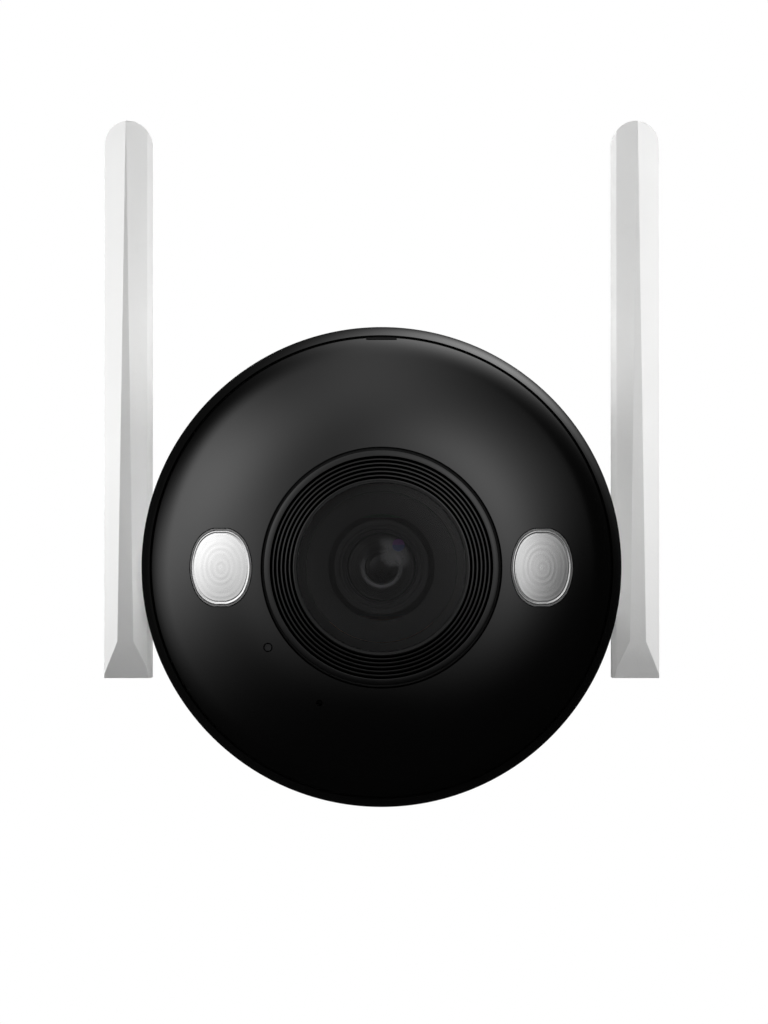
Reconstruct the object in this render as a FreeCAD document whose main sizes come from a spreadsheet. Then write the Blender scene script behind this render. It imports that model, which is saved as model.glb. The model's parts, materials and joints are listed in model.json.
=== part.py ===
# Outdoor Wi-Fi bullet camera on a three-axis wall bracket, in millimetres.
# Origin: centre of the bracket's back face. +Y points into the wall, the camera looks along -Y, +Z is up.
import FreeCAD, Part
import math
import os
import Sketcher

doc = FreeCAD.newDocument("bullet_camera")
sheet = doc.addObject("Spreadsheet::Sheet", "Dims")

# alias, value, meaning
DRIVING = [
    # bracket
    ("wall_pad_thick", 1.0, "foam pad against the wall"),
    ("base_radius", 29.0, "wall plate"),
    ("base_rim", 4.0, "wall plate thickness at its rim"),
    ("base_height", 10.0, "wall plate thickness at its hub"),
    ("base_hub", 14.0, "hub radius"),
    ("screw_circle", 21.5, "radius of the circle of wall screw holes"),
    ("screw_hole", 2.3, "wall screw hole radius"),
    ("tilt_y", -54.0, "tilt axis distance from the wall"),
    ("swivel_bolt_radius", 2.5, "bolt that holds the swivel on the plate"),
    ("fork_gap", 14.0, "space between the fork's two cheeks"),
    ("fork_cheek", 5.0, "cheek thickness"),
    ("fork_end", 11.0, "rounded end radius of a cheek"),
    ("swivel_radius", 13.5, "swivel hub radius"),
    ("swivel_hub", 12.0, "swivel hub height"),
    ("play", 0.3, "gap between faces that turn on each other"),
    ("tongue_radius", 10.0, "knuckle radius round the tilt axis"),
    ("tilt_pin", 2.5, "tilt bolt radius"),
    ("spigot_radius", 8.6, "knuckle spigot that the housing turns on"),
    ("spigot_flange", 12.0, "flange that holds the spigot in"),
    ("collar_radius", 15.0, "lock collar"),
    ("shoulder_y", -66.5, "start of the knuckle's shoulder disc"),
    # housing
    ("back_y", -76.0, "rear face of the housing"),
    ("split_y", -104.0, "joint between rear cover and barrel"),
    ("rear_radius", 37.4, "housing radius at that joint"),
    ("taper_y", -150.0, "where the barrel starts to narrow"),
    ("barrel_radius", 40.4, "barrel radius"),
    ("wall", 2.4, "housing wall"),
    ("rear_round", 11.0, "rounding of the rear edge"),
    ("skirt_y", -200.0, "rear edge of the front bezel"),
    # front
    ("rim_y", -214.0, "plane where the bezel is widest"),
    ("rim_radius", 41.0, "bezel radius"),
    ("seam_radius", 39.34, "joint between bezel and front cover"),
    ("shoulder_radius", 9.1, "radius of the face's outer roll"),
    ("shoulder_end", 78.0, "slope of the face at the rim, in degrees"),
    ("crown_radius", 51.1, "radius of the face's crown"),
    ("crown_end", 24.0, "slope where crown meets roll, in degrees"),
    ("crown_start", 6.0, "slope at the lens recess, in degrees"),
    ("recess_radius", 20.36, "lens recess"),
    ("cover_wall", 2.2, "front cover wall"),
    ("hood_radius", 19.92, "ribbed hood"),
    ("hood_lip", 18.9, "inner edge of the hood's flat lip"),
    ("rib_pitch", 0.683, "radial pitch of the hood ribs"),
    ("rib_top", 0.3, "width of a rib's top"),
    ("rib_drop", 0.72, "step down from one rib to the next"),
    ("rib_depth", 0.9, "groove depth below a rib"),
    ("glass_radius", 14.45, "window glass"),
    ("glass_thick", 2.0, "window glass"),
    ("spot_x", 27.2, "spotlight centre from the lens axis"),
    ("spot_half_width", 4.97, "spotlight half width"),
    ("spot_half_height", 6.27, "spotlight half height, to its flats"),
    ("spot_bend", 4.01, "height where the oval's flank meets its corner arc"),
    ("spot_bend_inset", 0.93, "how far the oval has drawn in at that height"),
    ("spot_flat_half", 0.97, "half length of the flat at the top of the oval"),
    ("spot_corner", 4.35, "corner arc of the oval"),
    ("spot_flank", 9.1, "flank arc of the oval"),
    ("spot_gasket", 0.35, "width of the clear rim round a spotlight"),
    ("lens_radius", 8.1, "lens head radius"),
    # antennas
    ("antenna_y", -93.0, "antenna pivot"),
    ("antenna_pivot_z", -5.0, "antenna pivot height"),
    ("antenna_inner", 44.05, "inner face of an antenna"),
    ("antenna_width", 9.0, "antenna width"),
    ("antenna_top", 84.2, "antenna tip height"),
    ("antenna_foot", -22.35, "antenna lower end"),
    ("antenna_chamfer_z", -14.9, "top of the slope at the antenna's lower end"),
    ("antenna_back", 5.2, "pivot to the antenna's back face"),
    ("ear_radius", 8.0, "antenna ear on the housing"),
    ("pivot_radius", 3.0, "antenna pivot pin"),
    # card bay
    ("bay_front", -190.0, "front edge of the card bay"),
    ("bay_rear", -158.0, "rear edge of the card bay"),
    ("bay_half", 13.0, "card bay half width"),
    ("bay_floor", -34.6, "card bay floor height"),
]


class Dim:
    """A size and the sheet expression that it comes from."""

    def __init__(self, value, text):
        self.value = value
        self.text = text

    def __add__(self, other):
        return join(self, "+", other)

    def __radd__(self, other):
        return join(other, "+", self)

    def __sub__(self, other):
        return join(self, "-", other)

    def __rsub__(self, other):
        return join(other, "-", self)

    def __mul__(self, other):
        return join(self, "*", other)

    def __rmul__(self, other):
        return join(other, "*", self)

    def __truediv__(self, other):
        return join(self, "/", other)

    def __neg__(self):
        return join(0, "-", self)


def dim(size):
    return size if isinstance(size, Dim) else Dim(float(size), f"({float(size):.6f})")


def join(left, sign, right):
    left, right = dim(left), dim(right)
    value = {
        "+": left.value + right.value,
        "-": left.value - right.value,
        "*": left.value * right.value,
        "/": left.value / right.value if right.value else 0.0,
    }[sign]
    return Dim(value, f"({left.text} {sign} {right.text})")


def sine(angle):
    return Dim(math.sin(math.radians(angle.value)), f"sin({angle.text} * 1 deg)")


def cosine(angle):
    return Dim(math.cos(math.radians(angle.value)), f"cos({angle.text} * 1 deg)")


class Sizes:
    """The sheet's cells by alias."""


size = Sizes()
for row, (alias, value, meaning) in enumerate(DRIVING, start=1):
    sheet.set(f"A{row}", meaning)
    sheet.set(f"B{row}", str(value))
    sheet.setAlias(f"B{row}", alias)
    setattr(size, alias, Dim(value, f"Dims.{alias}"))
doc.recompute()


# ---- helpers: sketches -------------------------------------------------------------------------------

class Bow:
    """An arc from the corner before it to (x, y). side is +1 when its centre is left of the way it runs."""

    def __init__(self, x, y, radius, side):
        self.x, self.y, self.radius, self.side = dim(x), dim(y), dim(radius), side


class Corner:
    """A corner at (x, y), rounded if it has a radius."""

    def __init__(self, x, y, radius=None):
        self.x, self.y = dim(x), dim(y)
        self.radius = None if radius is None else dim(radius)


def vector(x, y, z=0.0):
    return FreeCAD.Vector(x, y, z)


def place(item):
    return vector(item.x.value, item.y.value)


def arc_between(start, end, radius, side):
    """The shorter arc of that radius between two points, drawn anticlockwise."""
    middle = (start + end) * 0.5
    chord = end - start
    left = vector(-chord.y, chord.x)
    left.normalize()
    reach = math.sqrt(max(radius**2 - (chord.Length / 2) ** 2, 0.0))
    centre = middle + left * (side * reach)
    first, last = (start, end) if side > 0 else (end, start)
    angles = [math.atan2(point.y - centre.y, point.x - centre.x) for point in (first, last)]
    if angles[1] <= angles[0]:
        angles[1] += 2 * math.pi
    return Part.ArcOfCircle(Part.Circle(centre, vector(0, 0, 1), radius), *angles)


def pin(sketch, geometry, point, x, y):
    """Holds a point at sheet sizes."""
    for kind, size_of in (("DistanceX", x), ("DistanceY", y)):
        at = sketch.addConstraint(Sketcher.Constraint(kind, geometry, point, size_of.value))
        sketch.setExpression(f"Constraints[{at}]", size_of.text)


def new_sketch(body, plane, label, offset=None):
    sketch = body.newObject("Sketcher::SketchObject", label)
    role = [feature for feature in body.Origin.OriginFeatures if feature.Role == plane]
    sketch.AttachmentSupport = [(role[0], "")]
    sketch.MapMode = "FlatFace"
    if offset is not None:
        sketch.setExpression("AttachmentOffset.Base.z", dim(offset).text)
    return sketch


def draw(sketch, items):
    """A closed outline through the items, every corner pinned to the sheet and every round tied to its radius."""
    items = [item if isinstance(item, (Bow, Corner)) else Corner(*item) for item in items]
    count = len(items)
    starts, ends, rounds = {}, {}, []
    for i, item in enumerate(items):
        starts[i] = ends[i] = place(item)
        radius = getattr(item, "radius", None)
        if isinstance(item, Corner) and radius is not None:
            before, here, after = place(items[i - 1]), place(item), place(items[(i + 1) % count])
            inward, outward = (before - here), (after - here)
            inward.normalize()
            outward.normalize()
            half = math.acos(max(-1.0, min(1.0, inward.dot(outward)))) / 2
            cut = radius.value / math.tan(half)
            ends[i], starts[i] = here + inward * cut, here + outward * cut
            rounds.append(i)
    edges, heads = {}, {}
    for i in range(count):
        item = items[(i + 1) % count]
        finish = ends[(i + 1) % count]
        side = 1
        if isinstance(item, Bow):
            side = item.side
            shape = arc_between(starts[i], finish, item.radius.value, side)
        else:
            shape = Part.LineSegment(starts[i], finish)
        edges[i] = sketch.addGeometry(shape, False)
        heads[i] = (1, 2) if side > 0 else (2, 1)  # which end of the edge starts it, which ends it
    for i in range(count):
        last = (i - 1) % count
        if i in rounds:
            turn = items[i - 1], items[(i + 1) % count]
            before, after = place(turn[0]) - place(items[i]), place(turn[1]) - place(items[i])
            side = 1 if (before.x * after.y - before.y * after.x) < 0 else -1
            arc = arc_between(ends[i], starts[i], items[i].radius.value, side)
            geometry = sketch.addGeometry(arc, False)
            first, second = (1, 2) if side > 0 else (2, 1)
            sketch.addConstraint(Sketcher.Constraint("Tangent", edges[last], heads[last][1], geometry, first))
            sketch.addConstraint(Sketcher.Constraint("Tangent", geometry, second, edges[i], heads[i][0]))
            at = sketch.addConstraint(Sketcher.Constraint("Radius", geometry, items[i].radius.value))
            sketch.setExpression(f"Constraints[{at}]", items[i].radius.text)
            point = sketch.addGeometry(Part.Point(place(items[i])), True)
            pin(sketch, point, 1, items[i].x, items[i].y)
            sketch.addConstraint(Sketcher.Constraint("PointOnObject", point, 1, edges[last]))
            sketch.addConstraint(Sketcher.Constraint("PointOnObject", point, 1, edges[i]))
        else:
            sketch.addConstraint(
                Sketcher.Constraint("Coincident", edges[last], heads[last][1], edges[i], heads[i][0])
            )
            pin(sketch, edges[i], heads[i][0], items[i].x, items[i].y)
        nxt = items[(i + 1) % count]
        if isinstance(nxt, Bow):
            at = sketch.addConstraint(Sketcher.Constraint("Radius", edges[i], nxt.radius.value))
            sketch.setExpression(f"Constraints[{at}]", nxt.radius.text)
    return sketch


# ---- helpers: bodies and primitives ------------------------------------------------------------------

def bind(target, name, value):
    target.setExpression(name, dim(value).text)


def move_to(target, x=0, y=0, z=0):
    for axis, value in zip("xyz", (x, y, z)):
        bind(target, f"Placement.Base.{axis}", value)
    return target


def new_body(label):
    return doc.addObject("PartDesign::Body", label)


def turned(label, items):
    """A body turned about the Y axis from a half section of (radius, y) corners."""
    body = new_body(label)
    sketch = draw(new_sketch(body, "XY_Plane", label + "_section"), items)
    turn = body.newObject("PartDesign::Revolution", label + "_turn")
    turn.Profile = sketch
    turn.ReferenceAxis = (sketch, ["V_Axis"])
    turn.Angle = 360
    return body


def padded(label, plane, items, start, length, reverse=False):
    """A body padded from an outline on one of its origin planes, from start along the plane's normal."""
    body = new_body(label)
    sketch = draw(new_sketch(body, plane, label + "_outline", start), items)
    pad = body.newObject("PartDesign::Pad", label + "_pad")
    pad.Profile = sketch
    pad.Reversed = reverse
    bind(pad, "Length", length)
    return body


TURNS = {
    "X": FreeCAD.Rotation(FreeCAD.Vector(0, 1, 0), 90),
    "Y": FreeCAD.Rotation(FreeCAD.Vector(1, 0, 0), -90),
    "Z": FreeCAD.Rotation(),
}


def rod(label, radius, start, end, axis="Y", across=(0, 0)):
    """A cylinder along an axis, from start to end, at the other two coordinates in X, Y, Z order."""
    made = doc.addObject("Part::Cylinder", label)
    made.Placement = FreeCAD.Placement(FreeCAD.Vector(), TURNS[axis])
    spot = list(across)
    spot.insert("XYZ".index(axis), start)
    bind(made, "Radius", radius)
    bind(made, "Height", dim(end) - dim(start))
    return move_to(made, *spot)


def box(label, low, high):
    made = doc.addObject("Part::Box", label)
    for side, a, b in zip(("Length", "Width", "Height"), low, high):
        bind(made, side, dim(b) - dim(a))
    return move_to(made, *low)


def cut(label, base, *tools):
    made = doc.addObject("Part::Cut", label)
    made.Base = base
    made.Tool = tools[0] if len(tools) == 1 else fuse(label + "_tools", *tools)
    return made


def fuse(label, *shapes):
    made = doc.addObject("Part::MultiFuse", label)
    made.Shapes = list(shapes)
    made.Refine = True
    return made


def common(label, *shapes):
    made = doc.addObject("Part::MultiCommon", label)
    made.Shapes = list(shapes)
    return made


def group(label, *shapes):
    """Separate solids that share one node."""
    made = doc.addObject("Part::Compound", label)
    made.Links = list(shapes)
    return made


def ring(label, outer, inner, start, end, axis="Y", across=(0, 0)):
    return cut(
        label,
        rod(label + "_outside", outer, start, end, axis, across),
        rod(label + "_bore", inner, dim(start) - 1, dim(end) + 1, axis, across),
    )


def screw(label, x, z, head_y, shank_end, head=2.6, shank=1.5, head_height=1.8, away=1):
    """A pan head screw along Y. Its head sits on head_y and points away from the shank, +1 for towards the wall."""
    low, high = sorted((0, head_height * away))
    cap = rod(label + "_head", head, head_y + low, head_y + high, "Y", (x, z))
    ends = (shank_end, head_y) if away > 0 else (head_y, shank_end)
    stem = rod(label + "_shank", shank, *ends, "Y", (x, z))
    socket_from = head_y + (head_height - 1.0) * away
    socket_to = head_y + (head_height + 0.5) * away
    low, high = (socket_from, socket_to) if away > 0 else (socket_to, socket_from)
    socket = doc.addObject("Part::Prism", label + "_socket")
    socket.Polygon = 6
    socket.Circumradius = 1.2
    bind(socket, "Height", dim(high) - dim(low))
    socket.Placement = FreeCAD.Placement(FreeCAD.Vector(), TURNS["Y"])
    move_to(socket, x, low, z)
    return cut(label, fuse(label + "_solid", cap, stem), socket)


def around(count, radius, first=0.0):
    """Points evenly spaced on a circle in the XZ plane, from the first angle in degrees."""
    for i in range(count):
        angle = math.radians(first + 360.0 * i / count)
        yield radius * math.cos(angle), radius * math.sin(angle)


# ---- the face's curve --------------------------------------------------------------------------------

roll_y = size.rim_y + size.shoulder_radius * cosine(size.shoulder_end)
roll_x = size.rim_radius - size.shoulder_radius * sine(size.shoulder_end)
crown_edge_x = roll_x + size.shoulder_radius * sine(size.crown_end)
crown_edge_y = roll_y - size.shoulder_radius * cosine(size.crown_end)
crown_x = crown_edge_x - size.crown_radius * sine(size.crown_end)
crown_y = crown_edge_y + size.crown_radius * cosine(size.crown_end)


def root(value):
    return Dim(math.sqrt(value.value), f"sqrt({value.text})")


def roll_at(x):
    """The outer roll's front at radius x."""
    across = dim(x) - roll_x
    return roll_y - root(size.shoulder_radius * size.shoulder_radius - across * across)


def crown_at(x):
    """The crown's front at radius x."""
    across = dim(x) - crown_x
    return crown_y - root(size.crown_radius * size.crown_radius - across * across)


# ---- wall bracket ------------------------------------------------------------------------------------

pad_y = -size.wall_pad_thick
base_front = pad_y - size.base_height
hub_rear = base_front - size.play
hub_front = hub_rear - size.swivel_hub
bolt_seat = pad_y - 4.5
cheek_inner = size.fork_gap / 2
cheek_outer = cheek_inner + size.fork_cheek
running = 0.06  # radial clearance of a shaft that turns in its hole


def circle_on(body, label, radius, x, z, y):
    """A circle on the body's XZ plane, whose normal is -Y, moved to y."""
    sketch = new_sketch(body, "XZ_Plane", label, -dim(y))
    centre = vector(dim(x).value, dim(z).value)
    circle = sketch.addGeometry(Part.Circle(centre, vector(0, 0, 1), dim(radius).value), False)
    pin(sketch, circle, 3, dim(x), dim(z))
    at = sketch.addConstraint(Sketcher.Constraint("Radius", circle, dim(radius).value))
    sketch.setExpression(f"Constraints[{at}]", dim(radius).text)
    return sketch


def wall_pad():
    disc = rod("wall_pad_disc", size.base_radius - 1, pad_y, 0)
    holes = [
        rod(f"wall_pad_hole_{i}", size.screw_hole + 0.6, pad_y - 1, 1, "Y", spot)
        for i, spot in enumerate(around(3, size.screw_circle.value, 90))
    ]
    return cut("wall_pad", disc, *holes)


def base_plate():
    bore = size.swivel_bolt_radius + running
    rim_front = pad_y - size.base_rim
    body = turned("base_plate", [
        (bore, base_front),
        Corner(size.base_hub, base_front, 1.5),
        Corner(size.base_hub + 1.5, rim_front - 1.5, 3.0),
        Corner(size.base_radius, rim_front, 2.0),
        (size.base_radius, pad_y),
        (6.0, pad_y),
        (6.0, bolt_seat),
        (bore, bolt_seat),
    ])
    hole = body.newObject("PartDesign::Pocket", "base_plate_hole")
    hole.Profile = circle_on(body, "base_plate_hole_circle", size.screw_hole, 0, size.screw_circle, pad_y)
    hole.Type = "ThroughAll"
    hole.Midplane = True
    sink = body.newObject("PartDesign::Pocket", "base_plate_sink")
    sink.Profile = circle_on(
        body, "base_plate_sink_circle", size.screw_hole * 2, 0, size.screw_circle, pad_y - 2.6
    )
    bind(sink, "Length", size.base_height)
    sink.Reversed = True
    doc.recompute()
    pattern = body.newObject("PartDesign::PolarPattern", "base_plate_holes")
    pattern.Originals = [hole, sink]
    pattern.Axis = ([f for f in body.Origin.OriginFeatures if f.Role == "Y_Axis"][0], [""])
    pattern.Angle = 360
    pattern.Occurrences = 3
    body.Tip = pattern
    return body


def swivel_bolt():
    head = rod("swivel_bolt_head", 4.6, bolt_seat + 0.8, bolt_seat + 3.4)
    shank = rod("swivel_bolt_shank", size.swivel_bolt_radius, hub_front + 2, bolt_seat + 1)
    slot = box("swivel_bolt_slot", (-5, bolt_seat + 2.4, -0.6), (5, bolt_seat + 5, 0.6))
    return cut("swivel_bolt", fuse("swivel_bolt_solid", head, shank), slot)


def swivel_washer():
    return ring("swivel_washer", 5.4, size.swivel_bolt_radius, bolt_seat, bolt_seat + 0.8)


def swivel_yoke():
    hub = turned("swivel_yoke_hub", [
        (0, hub_rear),
        (size.swivel_radius, hub_rear),
        Corner(size.swivel_radius, hub_front, 2.0),
        (0, hub_front),
    ])
    end = size.fork_end
    arms = padded("swivel_yoke_arms", "YZ_Plane", [
        (hub_front + 3, -end),
        (hub_front + 3, end),
        (size.tilt_y, end),
        Bow(size.tilt_y - end, 0, end, 1),
        Bow(size.tilt_y, -end, end, 1),
    ], -cheek_outer, cheek_outer * 2)
    slot = box(
        "swivel_yoke_slot",
        (-cheek_inner, size.tilt_y - end - 1, -end - 1),
        (cheek_inner, size.tilt_y + end + 2, end + 1),
    )
    bolt_hole = rod(
        "swivel_yoke_cross_hole", size.tilt_pin, -cheek_outer - 1, cheek_outer + 1, "X", (size.tilt_y, 0)
    )
    centre_hole = rod("swivel_yoke_centre_hole", size.swivel_bolt_radius, hub_front + 2, hub_rear + 1)
    return cut("swivel_yoke", fuse("swivel_yoke_solid", hub, arms), slot, bolt_hole, centre_hole)


def across_tilt(label, radius, start, end):
    return rod(label, radius, start, end, "X", (size.tilt_y, 0))


def tilt_bolt():
    head = across_tilt("tilt_bolt_head", 4.6, cheek_outer, cheek_outer + 4)
    shank = across_tilt("tilt_bolt_shank", size.tilt_pin, -cheek_outer - 5, cheek_outer + 1)
    socket = doc.addObject("Part::Prism", "tilt_bolt_socket")
    socket.Polygon = 6
    socket.Circumradius = 2.4
    socket.Height = 3
    socket.Placement = FreeCAD.Placement(FreeCAD.Vector(), TURNS["X"])
    move_to(socket, cheek_outer + 1.6, size.tilt_y, 0)
    return cut("tilt_bolt", fuse("tilt_bolt_solid", head, shank), socket)


def tilt_nut():
    nut = doc.addObject("Part::Prism", "tilt_nut_hex")
    nut.Polygon = 6
    nut.Circumradius = 5.2
    nut.Height = 4
    nut.Placement = FreeCAD.Placement(FreeCAD.Vector(), TURNS["X"])
    move_to(nut, -cheek_outer - 4, size.tilt_y, 0)
    thread = across_tilt("tilt_nut_thread", size.tilt_pin, -cheek_outer - 6, -cheek_outer + 1)
    return cut("tilt_nut", nut, thread)


def tilt_washers():
    washer = 0.5
    sides = [("left", -cheek_inner, -cheek_inner + washer), ("right", cheek_inner - washer, cheek_inner)]
    spot = (size.tilt_y, 0)
    return group("tilt_washers", *[
        ring(f"tilt_washer_{side}", 8.0, size.tilt_pin, start, end, "X", spot)
        for side, start, end in sides
    ])


# ---- knuckle and roll lock ---------------------------------------------------------------------------

shoulder_front = size.shoulder_y - 3.5
collar_front = size.back_y + size.play
cover_inside = size.back_y - 3.5
spigot_front = cover_inside - size.play


def knuckle():
    half = cheek_inner - 0.6
    radius = size.tongue_radius
    tongue = padded("knuckle_tongue", "YZ_Plane", [
        Bow(size.tilt_y, radius, radius, 1),
        (size.shoulder_y - 1, radius - 1),
        (size.shoulder_y - 1, -radius + 1),
        (size.tilt_y, -radius),
        Bow(size.tilt_y + radius, 0, radius, 1),
    ], -half, half * 2)
    stem = turned("knuckle_stem", [
        (0, size.shoulder_y),
        Corner(12.5, size.shoulder_y, 1.0),
        Corner(12.5, shoulder_front, 0.6),
        (size.spigot_radius, shoulder_front),
        (size.spigot_radius, spigot_front),
        (0, spigot_front),
    ])
    cross = across_tilt("knuckle_cross_hole", size.tilt_pin + running, -half - 1, half + 1)
    screw_holes = [
        rod(f"knuckle_screw_hole_{i}", 1.1, spigot_front - 1, spigot_front + 6, "Y", spot)
        for i, spot in enumerate(around(3, 5.4, 90))
    ]
    return cut("knuckle", fuse("knuckle_solid", tongue, stem), cross, *screw_holes)


def roll_retainer():
    disc = rod("roll_retainer_disc", size.spigot_flange, spigot_front - 2, spigot_front)
    holes = [
        rod(f"roll_retainer_hole_{i}", 1.1, spigot_front - 3, spigot_front + 1, "Y", spot)
        for i, spot in enumerate(around(3, 5.4, 90))
    ]
    return cut("roll_retainer", disc, *holes)


def retainer_screws():
    return group("retainer_screws", *[
        screw(f"retainer_screw_{i}", x, z, spigot_front - 2, spigot_front + 5, 2.1, 1.1, 1.4, -1)
        for i, (x, z) in enumerate(around(3, 5.4, 90))
    ])


def lock_collar():
    rear = shoulder_front - size.play
    sleeve = turned("lock_collar_sleeve", [
        (size.spigot_radius + running, rear),
        Corner(size.collar_radius, rear, 0.8),
        Corner(size.collar_radius, collar_front, 0.8),
        (size.spigot_radius + running, collar_front),
    ])
    flutes = [
        rod(f"lock_collar_flute_{i}", 1.2, collar_front - 1, rear + 1, "Y", spot)
        for i, spot in enumerate(around(20, size.collar_radius.value + 0.6))
    ]
    return cut("lock_collar", sleeve, *flutes)


# ---- housing -----------------------------------------------------------------------------------------

rear_inner = size.rear_radius - size.wall
barrel_inner = size.barrel_radius - size.wall
lip_outer = rear_inner - 1.0
seal_depth = 1.6
gland_z = -24.0
gland_radius = 6.0
cable_radius = 3.1
sleeve_wall = 0.6
boss_radius = 3.0
boss_circle = 31.5
ear_end = size.antenna_inner - size.play


def ear(label, side):
    """The round ear that one antenna turns on. It starts inside the wall."""
    root_x = size.rear_radius - 3.9
    low, high = (root_x, ear_end) if side > 0 else (-ear_end, -root_x)
    return rod(label, size.ear_radius, low, high, "X", (size.antenna_y, size.antenna_pivot_z))


def rear_cover():
    shell = turned("rear_cover_shell", [
        (size.spigot_radius + running, size.back_y),
        Corner(size.rear_radius, size.back_y, size.rear_round),
        (size.rear_radius, size.split_y),
        (lip_outer, size.split_y),
        (lip_outer, size.split_y - 4),
        (lip_outer - 1.6, size.split_y - 4),
        Corner(lip_outer - 1.6, cover_inside, size.rear_round - 4),
        (size.spigot_radius + running, cover_inside),
    ])
    ears = [ear(f"rear_cover_ear_{name}", side) for name, side in (("left", -1), ("right", 1))]
    pins = rod(
        "rear_cover_pin_hole", size.pivot_radius, -ear_end - 1, ear_end + 1, "X",
        (size.antenna_y, size.antenna_pivot_z),
    )
    bosses = [
        rod(f"rear_cover_boss_{i}", boss_radius + 1.2, size.split_y, cover_inside + 1, "Y", spot)
        for i, spot in enumerate(around(4, boss_circle, 45))
    ]
    holes = [
        rod(f"rear_cover_screw_hole_{i}", 1.5, size.split_y - 5, size.back_y + 1, "Y", spot)
        for i, spot in enumerate(around(4, boss_circle, 45))
    ]
    sinks = [
        rod(f"rear_cover_sink_{i}", 2.9, size.back_y - 8, size.back_y + 1, "Y", spot)
        for i, spot in enumerate(around(4, boss_circle, 45))
    ]
    inlet = rod("rear_cover_inlet", gland_radius - 1.5, cover_inside - 1, size.back_y + 1, "Y", (0, gland_z))
    full = fuse("rear_cover_full", shell, *ears, *bosses)
    return cut("rear_cover", full, *holes, *sinks, inlet, pins)


def rear_screws():
    return group("rear_screws", *[
        screw(f"rear_screw_{i}", x, z, size.back_y - 8, size.split_y - 8)
        for i, (x, z) in enumerate(around(4, boss_circle, 45))
    ])


def rear_seal():
    return ring("rear_seal", rear_inner, lip_outer, size.split_y - seal_depth, size.split_y)


def cable_gland():
    spot = (0, gland_z)
    neck = rod("cable_gland_neck", gland_radius - 1.5, cover_inside - 4, size.back_y + 1, "Y", spot)
    nut = doc.addObject("Part::Prism", "cable_gland_hex")
    nut.Polygon = 6
    nut.Circumradius = gland_radius + 0.6
    nut.Height = 4
    nut.Placement = FreeCAD.Placement(FreeCAD.Vector(), TURNS["Y"])
    move_to(nut, 0, size.back_y, gland_z)
    cap = rod("cable_gland_cap", gland_radius - 0.6, size.back_y + 3, size.back_y + 8.5, "Y", spot)
    bore = rod("cable_gland_bore", cable_radius + sleeve_wall, cover_inside - 5, size.back_y + 10, "Y", spot)
    return cut("cable_gland", fuse("cable_gland_solid", neck, nut, cap), bore)


def gland_seal():
    return ring(
        "gland_seal", cable_radius + sleeve_wall, cable_radius, size.back_y - 6, size.back_y + 8.5, "Y", (0, gland_z)
    )


joint_depth = 7.0
tenon_radius = size.barrel_radius - 1.2
bay_wall = 2.0
cover_lap = 0.8
bay_roof = size.bay_floor + 1.8
cover_thick = 2.0
cover_under = -size.barrel_radius + cover_thick + 0.4
speaker_y = -132.0
speaker_low = -34.0
boss_length = 9.0
tray_z = 6.0
cover_spots = ((0, -160.0), (0, -188.0))
button_spot = (6.5, -164)
button_radius = 1.5
SIDES = (("left", -1), ("right", 1))


def card_pocket(label, grow, low, high):
    """The card bay's plan, grown on every side, between two heights."""
    half = size.bay_half + grow
    return box(label, (-half, size.bay_front - grow, low), (half, size.bay_rear + grow, high))


def barrel_tube():
    tenon_end = size.skirt_y - joint_depth + 1.2
    return turned("barrel_tube", [
        (size.rear_radius, size.split_y),
        (size.barrel_radius, size.taper_y),
        (size.barrel_radius, size.skirt_y),
        (tenon_radius, size.skirt_y),
        (tenon_radius, tenon_end),
        (barrel_inner, tenon_end),
        (barrel_inner, size.taper_y),
        (rear_inner, size.split_y),
    ])


def barrel_bosses():
    """Where the four rear screws bite, each with a rib to the wall."""
    front = size.split_y - 4.2 - boss_length
    rear = size.split_y - 4.2
    made = []
    for i, (x, z) in enumerate(around(4, boss_circle, 45)):
        made.append(rod(f"barrel_boss_{i}", boss_radius, front, rear, "Y", (x, z)))
        low_x, high_x = sorted((x, x * 1.13))
        low_z, high_z = sorted((z, z * 1.13))
        made.append(box(
            f"barrel_boss_rib_{i}",
            (low_x - 0.4, front, low_z - 0.4),
            (high_x + 0.4, rear, high_z + 0.4),
        ))
    return made


def barrel_rails():
    """Two ledges along the inside that the tray rests on."""
    made = []
    for name, side in SIDES:
        low, high = sorted((side * 29.5, side * 38.5))
        made.append(box(f"barrel_rail_{name}", (low, -188, tray_z - 1.6), (high, -152, tray_z)))
    return made


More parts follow.
